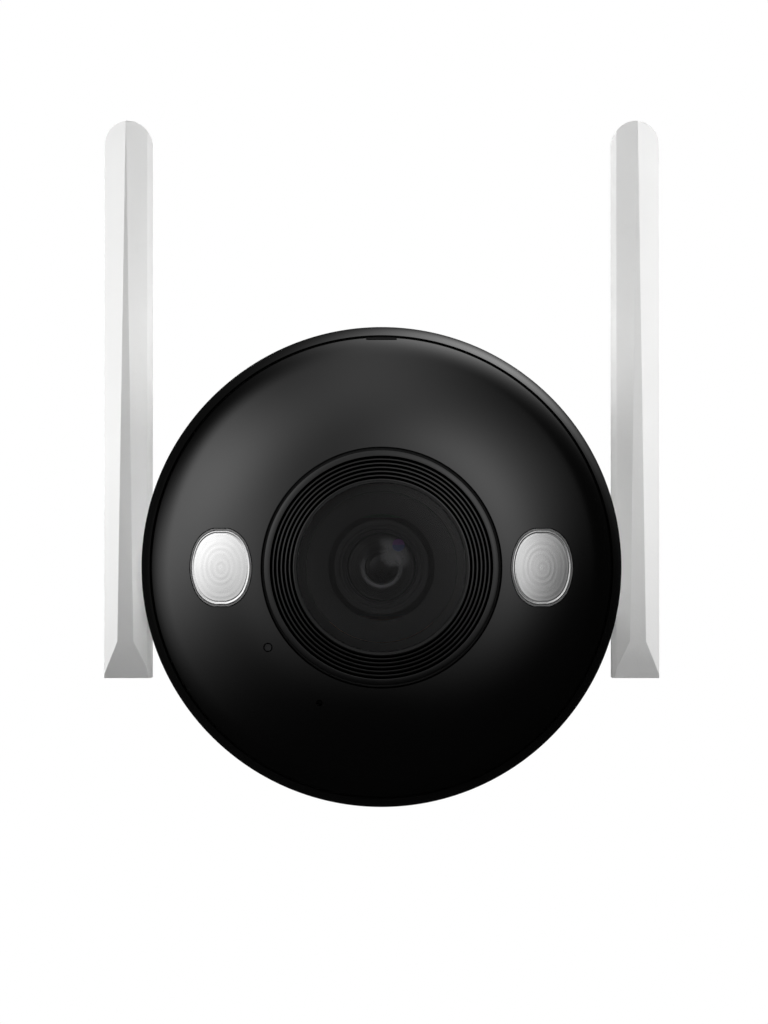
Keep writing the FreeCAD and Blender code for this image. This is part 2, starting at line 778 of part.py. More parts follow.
def barrel():
    bay_block = common(
        "barrel_bay_block",
        card_pocket("barrel_bay_outer", bay_wall, -size.barrel_radius, bay_roof),
        rod("barrel_bay_round", size.barrel_radius - 0.5, size.skirt_y, size.split_y),
    )
    speaker_seat = common(
        "barrel_speaker_seat",
        ring("barrel_speaker_ring", 11, 9.4, -40, speaker_low, "Z", (0, speaker_y)),
        rod("barrel_speaker_round", 37.9, speaker_y - 12, speaker_y + 12),
    )
    screw_holes = [
        rod(f"barrel_screw_hole_{i}", 1.5, size.split_y - 10, size.split_y, "Y", spot)
        for i, spot in enumerate(around(4, boss_circle, 45))
    ]
    solid = fuse(
        "barrel_solid", barrel_tube(), bay_block, speaker_seat, *barrel_bosses(), *barrel_rails()
    )
    posts = [
        rod(f"barrel_bay_post_{i}", 2.4, cover_under, size.bay_floor + 1, "Z", spot)
        for i, spot in enumerate(cover_spots)
    ]
    bay = cut("barrel_bay", card_pocket("barrel_bay_space", 0, -size.barrel_radius - 1, size.bay_floor), *posts)
    ledge = card_pocket("barrel_bay_ledge", cover_lap, -size.barrel_radius - 1, cover_under)
    cover_holes = [
        rod(f"barrel_cover_hole_{i}", 1.15, -42, cover_under + 2, "Z", spot)
        for i, spot in enumerate(cover_spots)
    ]
    button_hole = rod("barrel_button_hole", button_radius + running, -42, bay_roof + 1, "Z", button_spot)
    sound_holes = [rod("barrel_sound_hole_0", 0.8, -42, -34, "Z", (0, speaker_y))]
    for i, (x, y) in enumerate(around(6, 3.2)):
        sound_holes.append(rod(f"barrel_sound_hole_{i + 1}", 0.8, -42, -34, "Z", (x, speaker_y + y)))
    return cut("barrel", solid, bay, ledge, button_hole, *cover_holes, *sound_holes, *screw_holes)


# ---- front -------------------------------------------------------------------------------------------

seam_gap = 0.16
cover_radius = size.seam_radius - seam_gap
ledge_radius = size.seam_radius - 1.9
recess_floor = crown_at(size.recess_radius) + 5.6
slope_sine = sine(size.crown_end)
slope_cosine = cosine(size.crown_end)


def front_bezel():
    seat = roll_at(size.seam_radius) + size.cover_wall + 0.4
    return turned("front_bezel", [
        Corner(size.rim_radius - 0.25, size.skirt_y, 0.5),
        (size.rim_radius, size.skirt_y - 4),
        (size.rim_radius, size.rim_y),
        Bow(size.seam_radius, roll_at(size.seam_radius), size.shoulder_radius, -1),
        (size.seam_radius, seat),
        (ledge_radius, seat),
        (ledge_radius, size.skirt_y - joint_depth),
        (tenon_radius, size.skirt_y - joint_depth),
        (tenon_radius, size.skirt_y),
    ])


def face_section(label):
    """The front cover before it is pierced."""
    wall = size.cover_wall
    edge = roll_at(cover_radius)
    inner_edge = 35.6
    across = dim(inner_edge) - roll_x
    inner_roll = size.shoulder_radius - wall
    inner_y = roll_y - root(inner_roll * inner_roll - across * across)
    hole = size.recess_radius
    inner_crown = size.crown_radius - wall
    across_hole = dim(22.0) - crown_x
    floor_y = crown_y - root(inner_crown * inner_crown - across_hole * across_hole)
    return turned(label, [
        (hole, recess_floor),
        (hole, crown_at(hole)),
        Bow(crown_edge_x, crown_edge_y, size.crown_radius, 1),
        Bow(cover_radius, edge, size.shoulder_radius, 1),
        (cover_radius, edge + wall + 0.4),
        (ledge_radius, edge + wall + 0.4),
        (inner_edge, inner_y),
        Bow(crown_edge_x - wall * slope_sine, crown_edge_y + wall * slope_cosine, inner_roll, -1),
        Bow(22.0, floor_y, inner_crown, -1),
        (22.0, recess_floor),
    ])


def oval(label, side, grow, start, length):
    """A prism along Y over one spotlight."""
    centre = side * size.spot_x
    tall = size.spot_half_height + grow
    wide = size.spot_half_width + grow
    bend = size.spot_bend
    cheek = wide - size.spot_bend_inset
    flat = size.spot_flat_half + grow
    corner = size.spot_corner + grow
    flank = size.spot_flank + grow
    return padded(label, "XZ_Plane", [
        Bow(centre + flat, tall, corner, 1),
        (centre - flat, tall),
        Bow(centre - cheek, bend, corner, 1),
        Bow(centre - cheek, -bend, flank, 1),
        Bow(centre - flat, -tall, corner, 1),
        (centre + flat, -tall),
        Bow(centre + cheek, -bend, corner, 1),
        Bow(centre + cheek, bend, flank, 1),
    ], start, length)


sensor_hole = (-19.2, -13.5)
mic_hole = (-10.5, -22.9)


def front_cover():
    windows = [oval(f"front_cover_window_{name}", side, size.spot_gasket, 205, 30) for name, side in SIDES]
    dimple = rod("front_cover_dimple", 0.7, -230, -205, "Y", sensor_hole)
    mic = rod("front_cover_mic_hole", 0.45, -230, -205, "Y", mic_hole)
    notch = box(
        "front_cover_notch", (-2.55, size.rim_y - 12, size.seam_radius - 0.55), (2.55, size.rim_y - 1, 42)
    )
    return cut("front_cover", face_section("front_cover_shell"), *windows, dimple, mic, notch)


def spot_window(name, side):
    return common(
        f"spot_window_{name}",
        face_section(f"spot_window_shell_{name}"),
        oval(f"spot_window_oval_{name}", side, 0, 205, 30),
    )


def spot_gaskets():
    rims = []
    for name, side in SIDES:
        outside = oval(f"spot_gasket_outer_{name}", side, size.spot_gasket, 205, 30)
        inside = oval(f"spot_gasket_inner_{name}", side, 0, 204, 32)
        rims.append(common(
            f"spot_gasket_{name}",
            face_section(f"spot_gasket_shell_{name}"),
            cut(f"spot_gasket_ring_{name}", outside, inside),
        ))
    return group("spot_gaskets", *rims)


def bezel_seal():
    front = size.skirt_y - joint_depth
    return ring("bezel_seal", tenon_radius, barrel_inner, front, front + 1.2)


hood_front = crown_at(size.recess_radius) + 0.45
rib_count = 6
glass_seal = 0.5
glass_front = hood_front + rib_count * size.rib_drop + 0.4


def lens_hood():
    """A ring of fine ribs, each a step deeper than the one outside it."""
    points = [(size.hood_radius, recess_floor), Corner(size.hood_radius, hood_front, 0.12)]
    for i in range(rib_count):
        edge = size.hood_lip - i * size.rib_pitch
        top = hood_front + i * size.rib_drop
        points.append((edge, top))
        points.append((edge - 0.12, top + size.rib_depth))
        points.append((edge - size.rib_pitch + size.rib_top, top + size.rib_depth))
        points.append((edge - size.rib_pitch + size.rib_top, top + size.rib_drop))
    seat = glass_front
    last = size.hood_lip - rib_count * size.rib_pitch
    points.append((last, glass_front - 0.4))
    points.append((last, seat))
    points.append((size.glass_radius, seat))
    points.append((size.glass_radius, seat + size.glass_thick + glass_seal))
    points.append((size.glass_radius - 1.6, seat + size.glass_thick + glass_seal))
    points.append((size.glass_radius - 1.6, recess_floor + 3))
    points.append((size.hood_radius + 2.6, recess_floor + 3))
    points.append((size.hood_radius + 2.6, recess_floor))
    return turned("lens_hood", points)


def window_glass():
    return rod("window_glass", size.glass_radius, glass_front, glass_front + size.glass_thick)


def lens_baffle():
    """A black plate that hides the boards round the lens, snapped into the back of the hood."""
    front = lens_front + baffle_setback
    return ring("lens_baffle", baffle_outer, baffle_inner, front, front + baffle_thick)


def window_seal():
    rear = glass_front + size.glass_thick
    return ring("window_seal", size.glass_radius, size.glass_radius - 1.5, rear, rear + glass_seal)


# ---- lights ------------------------------------------------------------------------------------------

led_board_y = size.rim_y + 8
reflector_front = size.rim_y - 1.8


def spot_reflector(name, side):
    """A cup that opens towards the window."""
    x = side * size.spot_x
    depth = led_board_y - reflector_front
    outside = oval(f"spot_reflector_outer_{name}", side, -0.6, -led_board_y, depth)
    cone = doc.addObject("Part::Cone", f"spot_reflector_cone_{name}")
    cone.Placement = FreeCAD.Placement(FreeCAD.Vector(), TURNS["Y"])
    cone.Radius1 = 4.3
    cone.Radius2 = 2.2
    cone.Height = 12
    move_to(cone, x, reflector_front - 0.5, 0)
    return cut(f"spot_reflector_{name}", outside, cone)


def led_board(name, side):
    x = side * size.spot_x
    plate = box(f"led_board_plate_{name}", (x - 6, led_board_y, -8.5), (x + 6, led_board_y + 1.6, 8.5))
    holes = [
        rod(f"led_board_hole_{name}_{i}", 1.1, led_board_y - 1, led_board_y + 3, "Y", (x, z))
        for i, z in enumerate((-7, 7))
    ]
    return cut(f"led_board_{name}", plate, *holes)


def led_chips():
    chips = []
    for name, side in SIDES:
        x = side * size.spot_x
        chips.append(box(f"led_chip_{name}", (x - 1.4, led_board_y - 0.7, -1.4), (x + 1.4, led_board_y, 1.4)))
    return group("led_chips", *chips)


# ---- lens --------------------------------------------------------------------------------------------

lens_front = glass_front + size.glass_thick + 0.8
thread_radius = 6.0
baffle_setback = 0.07
baffle_inner = 9.1
baffle_outer = 12.8
baffle_thick = 0.6
holder_front = lens_front + 8
filter_y = lens_front + 18.4
sensor_board_y = filter_y + 5.6


def lens_barrel():
    return turned("lens_barrel", [
        (6.3, lens_front),
        (7.0, lens_front - 0.35),
        (size.lens_radius, lens_front - 0.35),
        (size.lens_radius, lens_front + 5),
        (thread_radius, lens_front + 6),
        (thread_radius, lens_front + 16),
        (3.4, lens_front + 16),
        (3.4, lens_front + 9),
        (6.3, lens_front + 5),
    ])


def lens_front_element():
    edge = 5.9
    bulge = 1.0
    curve = (edge * edge + bulge * bulge) / (2 * bulge)
    ball = doc.addObject("Part::Sphere", "lens_front_ball")
    bind(ball, "Radius", curve)
    move_to(ball, 0, lens_front - 0.1 + curve, 0)
    return common("lens_front_element", rod("lens_front_blank", edge, lens_front - 1, lens_front + 4.2), ball)


def lens_retainer():
    return ring("lens_retainer", 6.3, 5.9, lens_front + 0.2, lens_front + 4.2)


def lens_holder():
    rear = sensor_board_y
    outer = turned("lens_holder_tower", [
        (thread_radius, holder_front),
        Corner(thread_radius + 2, holder_front, 0.4),
        (thread_radius + 2, filter_y - 1),
        (thread_radius, filter_y - 1),
    ])
    skirt = box("lens_holder_skirt", (-11, filter_y - 3, -8.4), (11, rear, 8.4))
    hollow = box("lens_holder_hollow", (-9.6, filter_y - 1.4, -7), (9.6, rear + 1, 7))
    throat = rod("lens_holder_throat", thread_radius, holder_front - 1, filter_y)
    return cut("lens_holder", fuse("lens_holder_solid", outer, skirt), hollow, throat)




def ir_filter_carrier():
    frame = box("ir_filter_frame", (-8.6, filter_y - 0.6, -4.6), (3.2, filter_y + 0.6, 4.6))
    panes = [
        box("ir_filter_pane_day", (-2.7, filter_y - 1, -3), (2.7, filter_y + 1, 3)),
        box("ir_filter_pane_night", (-8.2, filter_y - 1, -3), (-3.3, filter_y + 1, 3)),
    ]
    return cut("ir_filter_carrier", frame, *panes)


def ir_filter_panes():
    return group(
        "ir_filter_panes",
        box("ir_filter_glass_day", (-2.7, filter_y - 0.3, -3), (2.7, filter_y + 0.3, 3)),
        box("ir_filter_glass_night", (-8.2, filter_y - 0.3, -3), (-3.3, filter_y + 0.3, 3)),
    )


def ir_filter_coil():
    return rod("ir_filter_coil", 2.4, -9, 9, "X", (filter_y - 0.4, -11))


def image_sensor():
    return box("image_sensor", (-4.2, sensor_board_y - 1.2, -3.4), (4.2, sensor_board_y, 3.4))


def sensor_board():
    plate = box("sensor_board_plate", (-17, sensor_board_y, -15), (17, sensor_board_y + 1.6, 15))
    holes = [
        rod(f"sensor_board_hole_{i}", 1.1, sensor_board_y - 1, sensor_board_y + 3, "Y", spot)
        for i, spot in enumerate(((-14.5, -12.5), (14.5, -12.5), (-14.5, 12.5), (14.5, 12.5)))
    ]
    return cut("sensor_board", plate, *holes)


# ---- inside the housing ------------------------------------------------------------------------------

tray_half = 31.0
board_z = 10.0
board_half = 26.0
board_front = -188.0
board_rear = -118.0


def chassis():
    """A tray along the barrel with a front wall that carries the sensor board."""
    tray = box("chassis_tray", (-tray_half, board_front - 1, tray_z), (tray_half, board_rear - 2, tray_z + 1.6))
    wall = rod("chassis_wall", 32.5, board_front - 2.6, board_front - 1)
    window = box("chassis_window", (-13, board_front - 4, -11), (13, board_front, 11))
    posts = [
        rod(f"chassis_post_{i}", 2.2, tray_z + 1.6, board_z, "Z", (x, y))
        for i, (x, y) in enumerate(((-22, -182), (22, -182), (-22, -124), (22, -124)))
    ]
    studs = [
        rod(f"chassis_stud_{i}", 2.0, sensor_board_y + 1.6, board_front - 2.6, "Y", spot)
        for i, spot in enumerate(((-14.5, -12.5), (14.5, -12.5), (-14.5, 12.5), (14.5, 12.5)))
    ]
    arms = [
        box(f"chassis_arm_{name}", (side * 27.2 - 2, led_board_y + 1.6, -2), (side * 27.2 + 2, board_front - 2.6, 2))
        for name, side in SIDES
    ]
    return cut("chassis", fuse("chassis_solid", tray, wall, *posts, *studs, *arms), window)


def main_board():
    plate = box("main_board_plate", (-board_half, board_front + 3, board_z), (board_half, board_rear, board_z + 1.6))
    holes = [
        rod(f"main_board_hole_{i}", 1.3, board_z - 1, board_z + 3, "Z", (x, y))
        for i, (x, y) in enumerate(((-22, -182), (22, -182), (-22, -124), (22, -124)))
    ]
    return cut("main_board", plate, *holes)


def board_chips():
    top = board_z + 1.6
    spots = [(-2, -150, 7, 7, 1.4), (-17, -158, 5, 6.5, 1.1), (14, -164, 4, 4, 1.0), (15, -140, 6, 5, 2.4)]
    spots += [(-15, -134, 4, 4, 4.5), (-4, -132, 2, 2, 1.6), (3, -132, 2, 2, 1.6), (0, -175, 9, 3, 3.2)]
    return group("board_chips", *[
        box(f"board_chip_{i}", (x - wide, y - deep, top), (x + wide, y + deep, top + tall))
        for i, (x, y, wide, deep, tall) in enumerate(spots)
    ])


def heat_pad():
    top = board_z + 3
    block = box("heat_pad_block", (-10, -158, top), (6, -142, top + 9))
    slots = [box(f"heat_pad_slot_{i}", (-8.5 + 3 * i, -159, top + 2), (-7 + 3 * i, -141, top + 10)) for i in range(5)]
    return cut("heat_pad", block, *slots)


def speaker():
    drum_top = speaker_low + 5.5
    drum = rod("speaker_drum", 11, speaker_low, drum_top, "Z", (0, speaker_y))
    magnet = rod("speaker_magnet", 6.5, drum_top, drum_top + 4, "Z", (0, speaker_y))
    return fuse("speaker", drum, magnet)


def microphone():
    x, z = mic_hole
    front = size.rim_y - 6.9
    return rod("microphone", 2.2, front, front + 2.6, "Y", (x, z))


def light_sensor():
    x, z = sensor_hole
    front = size.rim_y - 9.6
    return rod("light_sensor", 0.66, front, front + 4, "Y", (x, z))


def card_socket():
    floor = size.bay_floor
    shell = box("card_socket_shell", (-8, -184.5, floor - 1.6), (6.5, -169, floor))
    slot = box("card_socket_slot", (-6.8, -185, floor - 1.1), (4.8, -170, floor - 0.4))
    return cut("card_socket", shell, slot)


def reset_button():
    return rod("reset_button", button_radius, size.bay_floor - 2.2, size.bay_floor + 1.4, "Z", button_spot)


def card_cover():
    blank = common(
        "card_cover_blank",
        card_pocket("card_cover_plan", cover_lap - 0.15, -size.barrel_radius - 1, cover_under),
        rod("card_cover_round", size.barrel_radius, size.skirt_y, size.taper_y + 1),
    )
    holes = [
        rod(f"card_cover_hole_{i}", 1.1, -44, cover_under + 1, "Z", spot) for i, spot in enumerate(cover_spots)
    ]
    sinks = [
        rod(f"card_cover_sink_{i}", 2.1, -44, -39.4, "Z", spot) for i, spot in enumerate(cover_spots)
    ]
    return cut("card_cover", blank, *holes, *sinks)


def card_cover_screws():
    made = []
    for i, spot in enumerate(cover_spots):
        head = rod(f"card_cover_screw_head_{i}", 2.0, -40.1, -39.4, "Z", spot)
        shank = rod(f"card_cover_screw_shank_{i}", 1.1, -39.5, cover_under + 1.2, "Z", spot)
        slot = box(
            f"card_cover_screw_slot_{i}",
            (-2.5, spot[1] - 0.3, -40.5),
            (2.5, spot[1] + 0.3, -39.7),
        )
        made.append(cut(f"card_cover_screw_{i}", fuse(f"card_cover_screw_solid_{i}", head, shank), slot))
    return group("card_cover_screws", *made)


# ---- antennas ----------------------------------------------------------------------------------------

antenna_mid = size.antenna_inner + size.antenna_width / 2
half_width = size.antenna_width / 2
antenna_depth_foot = 4.6
antenna_depth_tip = 2.4
facet_foot = 1.63
facet_tip = 0.05
facet_drop = 2.4
strip = 0.82
pin_cap = 1.85
pin_root = 30.0


def blade_section(body, label, centre, side, front, facet, height):
    """One cross-section of an antenna: narrow front facet, two sloping ones and a strip on the inner edge."""
    y_front = size.antenna_y - front
    y_slope = y_front + facet_drop
    y_back = size.antenna_y + size.antenna_back
    outer = side * half_width
    inner = -side * half_width
    sketch = new_sketch(body, "XY_Plane", label, height)
    return draw(sketch, [
        (centre + outer, y_back),
        (centre + outer, y_slope),
        (centre + side * dim(facet) + side * 0.35, y_front),
        (centre - side * dim(facet) + side * 0.35, y_front),
        (centre + inner + side * strip, y_slope - 0.5),
        (centre + inner, y_slope + 1.6),
        (centre + inner, y_back),
    ])


def antenna_shell(name, side):
    centre = side * antenna_mid
    blade = new_body(f"antenna_blade_{name}")
    foot = blade_section(
        blade, f"antenna_foot_{name}", centre, side, antenna_depth_foot, facet_foot, size.antenna_foot
    )
    tip = blade_section(
        blade, f"antenna_tip_{name}", centre, side, antenna_depth_tip, facet_tip, size.antenna_top
    )
    loft = blade.newObject("PartDesign::AdditiveLoft", f"antenna_loft_{name}")
    loft.Profile = foot
    loft.Sections = [tip]
    loft.Ruled = True
    top = size.antenna_top
    foot_z = size.antenna_foot
    outline = padded(f"antenna_outline_{name}", "XZ_Plane", [
        (centre - half_width, foot_z),
        (centre + half_width, foot_z),
        (centre + half_width, top - half_width),
        Bow(centre, top, half_width, 1),
        Bow(centre - half_width, top - half_width, half_width, 1),
    ], 80, 26)
    front = size.antenna_y - antenna_depth_foot
    wedge = padded(f"antenna_slope_{name}", "YZ_Plane", [
        (front - 0.5, size.antenna_chamfer_z),
        (front - 0.5, foot_z - 1),
        (front + facet_drop + 0.6, foot_z - 1),
        (front - 0.0, size.antenna_chamfer_z),
    ], -60, 120)
    wall = 1.5
    low, high = sorted((centre.value - 3.0, centre.value + 3.0))
    core_space = box(
        f"antenna_hollow_{name}",
        (low, size.antenna_y + 0.4, 3.0),
        (high, size.antenna_y + size.antenna_back - wall, 76.0),
    )
    mouth = side * (size.antenna_inner - 1.0)
    blind = side * (size.antenna_inner + size.antenna_width - pin_cap)
    ends = (mouth, blind) if side > 0 else (blind, mouth)
    pin_hole = rod(
        f"antenna_pin_hole_{name}", size.pivot_radius + running, *ends, "X", (size.antenna_y, size.antenna_pivot_z)
    )
    solid = common(f"antenna_solid_{name}", blade, outline)
    return cut(f"antenna_shell_{name}", solid, wedge, core_space, pin_hole)


def antenna_core(name, side):
    centre = side * antenna_mid.value
    board = box(
        f"antenna_core_board_{name}",
        (centre - 2.6, size.antenna_y + 1.0, 4.0),
        (centre + 2.6, size.antenna_y + 1.8, 75.0),
    )
    sleeve = rod(f"antenna_core_sleeve_{name}", 0.9, 12, 40, "Z", (centre, size.antenna_y + 2.4))
    return fuse(f"antenna_core_{name}", board, sleeve)


def antenna_pins():
    """The two pins stay in the housing's ears and reach into blind holes in the antennas."""
    made = []
    spot = (size.antenna_y, size.antenna_pivot_z)
    for name, side in SIDES:
        outer = side * (size.antenna_inner + size.antenna_width - pin_cap - 0.15)
        inner = side * dim(pin_root)
        ends = (inner, outer) if side > 0 else (outer, inner)
        made.append(rod(f"antenna_pin_{name}", size.pivot_radius, *ends, "X", spot))
    return group("antenna_pins", *made)


# ---- the nodes ---------------------------------------------------------------------------------------

nodes = [
    wall_pad(), base_plate(),
    swivel_bolt(), swivel_washer(), swivel_yoke(), tilt_bolt(), tilt_nut(), tilt_washers(),
    knuckle(), roll_retainer(), retainer_screws(), lock_collar(),
    rear_cover(), rear_screws(), rear_seal(), cable_gland(), gland_seal(),
    barrel(), front_bezel(), front_cover(), spot_gaskets(), bezel_seal(), lens_hood(),
    window_glass(), window_seal(), lens_baffle(), led_chips(),
    lens_barrel(), lens_front_element(), lens_retainer(), lens_holder(),
    ir_filter_carrier(), ir_filter_panes(), ir_filter_coil(), image_sensor(), sensor_board(),
    chassis(), main_board(), board_chips(), heat_pad(), speaker(), microphone(), light_sensor(),
    card_socket(), reset_button(), card_cover(), card_cover_screws(), antenna_pins(),
]
for name, side in SIDES:
    nodes += [spot_window(name, side), spot_reflector(name, side), led_board(name, side)]
    nodes += [antenna_shell(name, side), antenna_core(name, side)]
doc.recompute()

for item in doc.Objects:
    if "Invalid" in item.State or "Error" in item.State:
        raise RuntimeError(f"{item.Label} did not recompute: {item.State}")

os.makedirs("parts", exist_ok=True)
for node in nodes:
    label = node.Label
    shape = node.Shape
    if shape.isNull() or not shape.isValid():
        raise RuntimeError(f"{label} has no valid shape")
    shape.exportStep(f"parts/{label}.step")
    print(f"{label}: {len(shape.Solids)} solid(s), {shape.Volume:.1f} mm3")
print(len(nodes), "nodes")
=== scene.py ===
import json
import math
import bmesh
import bpy
import numpy as np
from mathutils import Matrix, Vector, geometry

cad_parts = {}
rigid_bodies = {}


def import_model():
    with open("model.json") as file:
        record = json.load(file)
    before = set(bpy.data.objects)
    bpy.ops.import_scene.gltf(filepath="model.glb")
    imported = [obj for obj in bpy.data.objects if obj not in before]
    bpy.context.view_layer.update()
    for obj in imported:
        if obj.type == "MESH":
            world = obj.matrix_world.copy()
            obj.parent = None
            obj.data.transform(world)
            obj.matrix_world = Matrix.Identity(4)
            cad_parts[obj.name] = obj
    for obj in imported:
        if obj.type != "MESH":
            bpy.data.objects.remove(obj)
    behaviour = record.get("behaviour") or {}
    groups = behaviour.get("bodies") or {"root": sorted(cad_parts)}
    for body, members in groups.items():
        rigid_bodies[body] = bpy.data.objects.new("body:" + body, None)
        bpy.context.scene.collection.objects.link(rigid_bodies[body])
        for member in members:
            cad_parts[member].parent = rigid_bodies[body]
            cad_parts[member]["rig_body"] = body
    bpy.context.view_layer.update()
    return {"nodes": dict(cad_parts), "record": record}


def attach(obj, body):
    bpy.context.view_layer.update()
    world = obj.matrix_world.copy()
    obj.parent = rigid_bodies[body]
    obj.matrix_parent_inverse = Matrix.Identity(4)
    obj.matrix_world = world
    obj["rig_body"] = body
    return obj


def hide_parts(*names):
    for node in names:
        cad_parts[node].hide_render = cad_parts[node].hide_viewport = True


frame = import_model()
nodes = frame["nodes"]
mm = 0.001
print("frame loaded:", len(nodes), "nodes")


# shader maths: a socket that can be added, scaled and mixed like a number

class Wire:
    def __init__(self, finish, socket):
        self.finish, self.socket = finish, socket

    def calc(self, operation, *values):
        return self.finish.add("ShaderNodeMath", {"operation": operation}, dict(enumerate(values)))

    def __add__(self, other):
        return self.calc("ADD", self, other)

    def __radd__(self, other):
        return self.calc("ADD", other, self)

    def __sub__(self, other):
        return self.calc("SUBTRACT", self, other)

    def __rsub__(self, other):
        return self.calc("SUBTRACT", other, self)

    def __mul__(self, other):
        return self.calc("MULTIPLY", self, other)

    def __rmul__(self, other):
        return self.calc("MULTIPLY", other, self)

    def __truediv__(self, other):
        return self.calc("DIVIDE", self, other)

    def over(self, edge, soft=0.02):  # 0 below edge, 1 above it
        return self.finish.add("ShaderNodeMapRange", {"interpolation_type": "SMOOTHSTEP"},
                               {0: self, 1: edge - soft, 2: edge + soft, 3: 0.0, 4: 1.0})

    def capped(self):  # never above 1
        return self.calc("MINIMUM", self, 1.0)

    def floor(self):
        return self.calc("FLOOR", self)

    def exponent(self):
        return self.calc("EXPONENT", self)

    def sine(self):
        return self.calc("SINE", self)

    def root(self):
        return self.calc("SQRT", self)

    def size(self):
        return self.calc("ABSOLUTE", self)


class NodeSet:
    def __init__(self, tree):
        self.tree = tree

    def add(self, kind, settings=None, inputs=None, output=0):
        node = self.tree.nodes.new(kind)
        for label, value in (settings or {}).items():
            setattr(node, label, value)
        for label, value in (inputs or {}).items():
            self.feed(node.inputs[label], value)
        return Wire(self, node.outputs[output]) if len(node.outputs) else None

    def feed(self, socket, value):
        if isinstance(value, Wire):
            self.tree.links.new(value.socket, socket)
        elif isinstance(value, tuple) and len(value) == 3 and socket.type == "RGBA":
            socket.default_value = (*value, 1)
        else:
            socket.default_value = value


class Finish(NodeSet):
    def __init__(self, name, fixed):
        self.material = bpy.data.materials.new(name)
        self.material.use_nodes = True
        super().__init__(self.material.node_tree)
        self.shader = self.tree.nodes["Principled BSDF"]
        self.place = None
        for label, value in fixed.items():
            self.set(label, value)

    def set(self, label, value):
        self.feed(self.shader.inputs[label], value)

    def where(self):  # the piece's own coordinates, in metres
        if self.place is None:
            self.place = self.add("ShaderNodeTexCoord", output="Object")
        return self.place

    def axis(self, letter):
        return self.add("ShaderNodeSeparateXYZ", None, {0: self.where()}, letter)

    def noise(self, size, detail=4.0, rough=0.55, stretch=(1, 1, 1)):
        at = self.add("ShaderNodeMapping", None, {"Vector": self.where(), "Scale": stretch})
        return self.add("ShaderNodeTexNoise", None,
                        {"Vector": at, "Scale": 1 / size, "Detail": detail, "Roughness": rough}, "Fac")

    def cells(self, size, feature="F1", output="Distance"):
        return self.add("ShaderNodeTexVoronoi", {"feature": feature},
                        {"Vector": self.where(), "Scale": 1 / size}, output)

    def blend(self, factor, first, second):
        return self.add("ShaderNodeMix", {"data_type": "RGBA"}, {0: factor, 6: first, 7: second}, 2)

    def bump(self, height, depth, strength=1.0):  # depth in metres for a height of 1
        self.set("Normal", self.add("ShaderNodeBump", None,
                                    {"Height": height, "Distance": depth, "Strength": strength}, "Normal"))


# finishes

def shade(value, tint=(1, 1, 1)):
    return tuple(value * part for part in tint)


def mouldedPlastic(name, look):
    finish = Finish(name, {"IOR": look.get("ior", 1.5), "Coat Weight": look.get("coat", 0.0)})
    grain = finish.noise(look["grain"], 3)
    cloud = finish.noise(look["grain"] * 60, 3)
    scuff = finish.noise(look["grain"] * 14, 5, 0.7, (1, 0.25, 1)).over(0.66, 0.05)
    tone = look["tone"]
    clean = finish.blend(cloud, shade(look["shade"] * 0.94, tone), shade(look["shade"] * 1.05, tone))
    worn = shade(look["shade"] * look["worn"], tone)
    finish.set("Base Color", finish.blend(scuff * look["wear"], clean, worn))
    finish.set("Roughness", look["rough"] + (cloud - 0.5) * 0.1 + scuff * 0.08 * look["wear"])
    finish.bump(grain, look["depth"])
    return finish.material


def paintedMetal(name, look):
    finish = Finish(name, {"IOR": 1.5})
    peel = finish.noise(look["peel"], 2)
    dust = finish.noise(look["peel"] * 12, 4)
    chip = finish.cells(look["peel"] * 4).over(0.12, 0.02)
    finish.set("Base Color", finish.blend(dust, shade(look["shade"] * 0.95), shade(look["shade"] * 1.03)))
    finish.set("Roughness", look["rough"] + (dust - 0.5) * 0.12 + (1 - chip) * 0.06)
    finish.bump(peel + chip * 0.15, look["depth"])
    return finish.material


def bareMetal(name, look):
    finish = Finish(name, {"Metallic": 1.0})
    lines = finish.noise(look["line"], 4, 0.6, look["along"])
    stain = finish.noise(look["line"] * 25, 4)
    dull, bright = shade(look["shade"] * 0.82, look["tone"]), shade(look["shade"], look["tone"])
    finish.set("Base Color", finish.blend(stain, dull, bright))
    finish.set("Roughness", look["rough"] + (lines - 0.5) * 0.2 + (stain - 0.5) * 0.1)
    finish.bump(lines, look["depth"])
    return finish.material


def faceGloss(name, look):
    finish = Finish(name, {"IOR": look["ior"]})
    grain = finish.noise(0.00022, 2)
    haze = finish.noise(0.012, 4)
    specks = finish.cells(0.0016).over(0.05, 0.012)
    finish.set("Base Color", finish.blend(specks, shade(look["shade"] * 2.4), shade(look["shade"])))
    finish.set("Roughness", look["rough"] + (haze - 0.5) * 0.05)
    finish.bump(grain, look["depth"])
    return finish.material


def ribsWithShadedGrooves(name, look):
    finish = Finish(name, {"IOR": look.get("ior", 1.5)})
    grain = finish.noise(0.0002, 2)
    dust = finish.noise(0.004, 5, 0.7)
    x, z = finish.axis("X"), finish.axis("Z")
    step = ((x * x + z * z).root() - look["first"]) * (1 / look["pitch"])
    part = step - step.floor()
    onRibs = step.over(0.0, 0.01) * (1 - step.over(look["ribs"] - 0.02, 0.01))
    # painted shade: the grooves between the ribs are darkened
    groove = part.over(look["land"], 0.05) * onRibs
    skin = finish.blend(dust, shade(look["shade"] * 0.8), shade(look["shade"] * 1.3))
    finish.set("Base Color", finish.blend(groove, skin, shade(look["shade"] * 0.1)))
    finish.set("Metallic", groove)  # the grooves are painted black and metallic so they give nothing back: painted shade in the grooves
    finish.set("Roughness", look["rough"] + (dust - 0.5) * 0.1 + groove * 0.4)
    finish.bump(grain, look["depth"])
    return finish.material


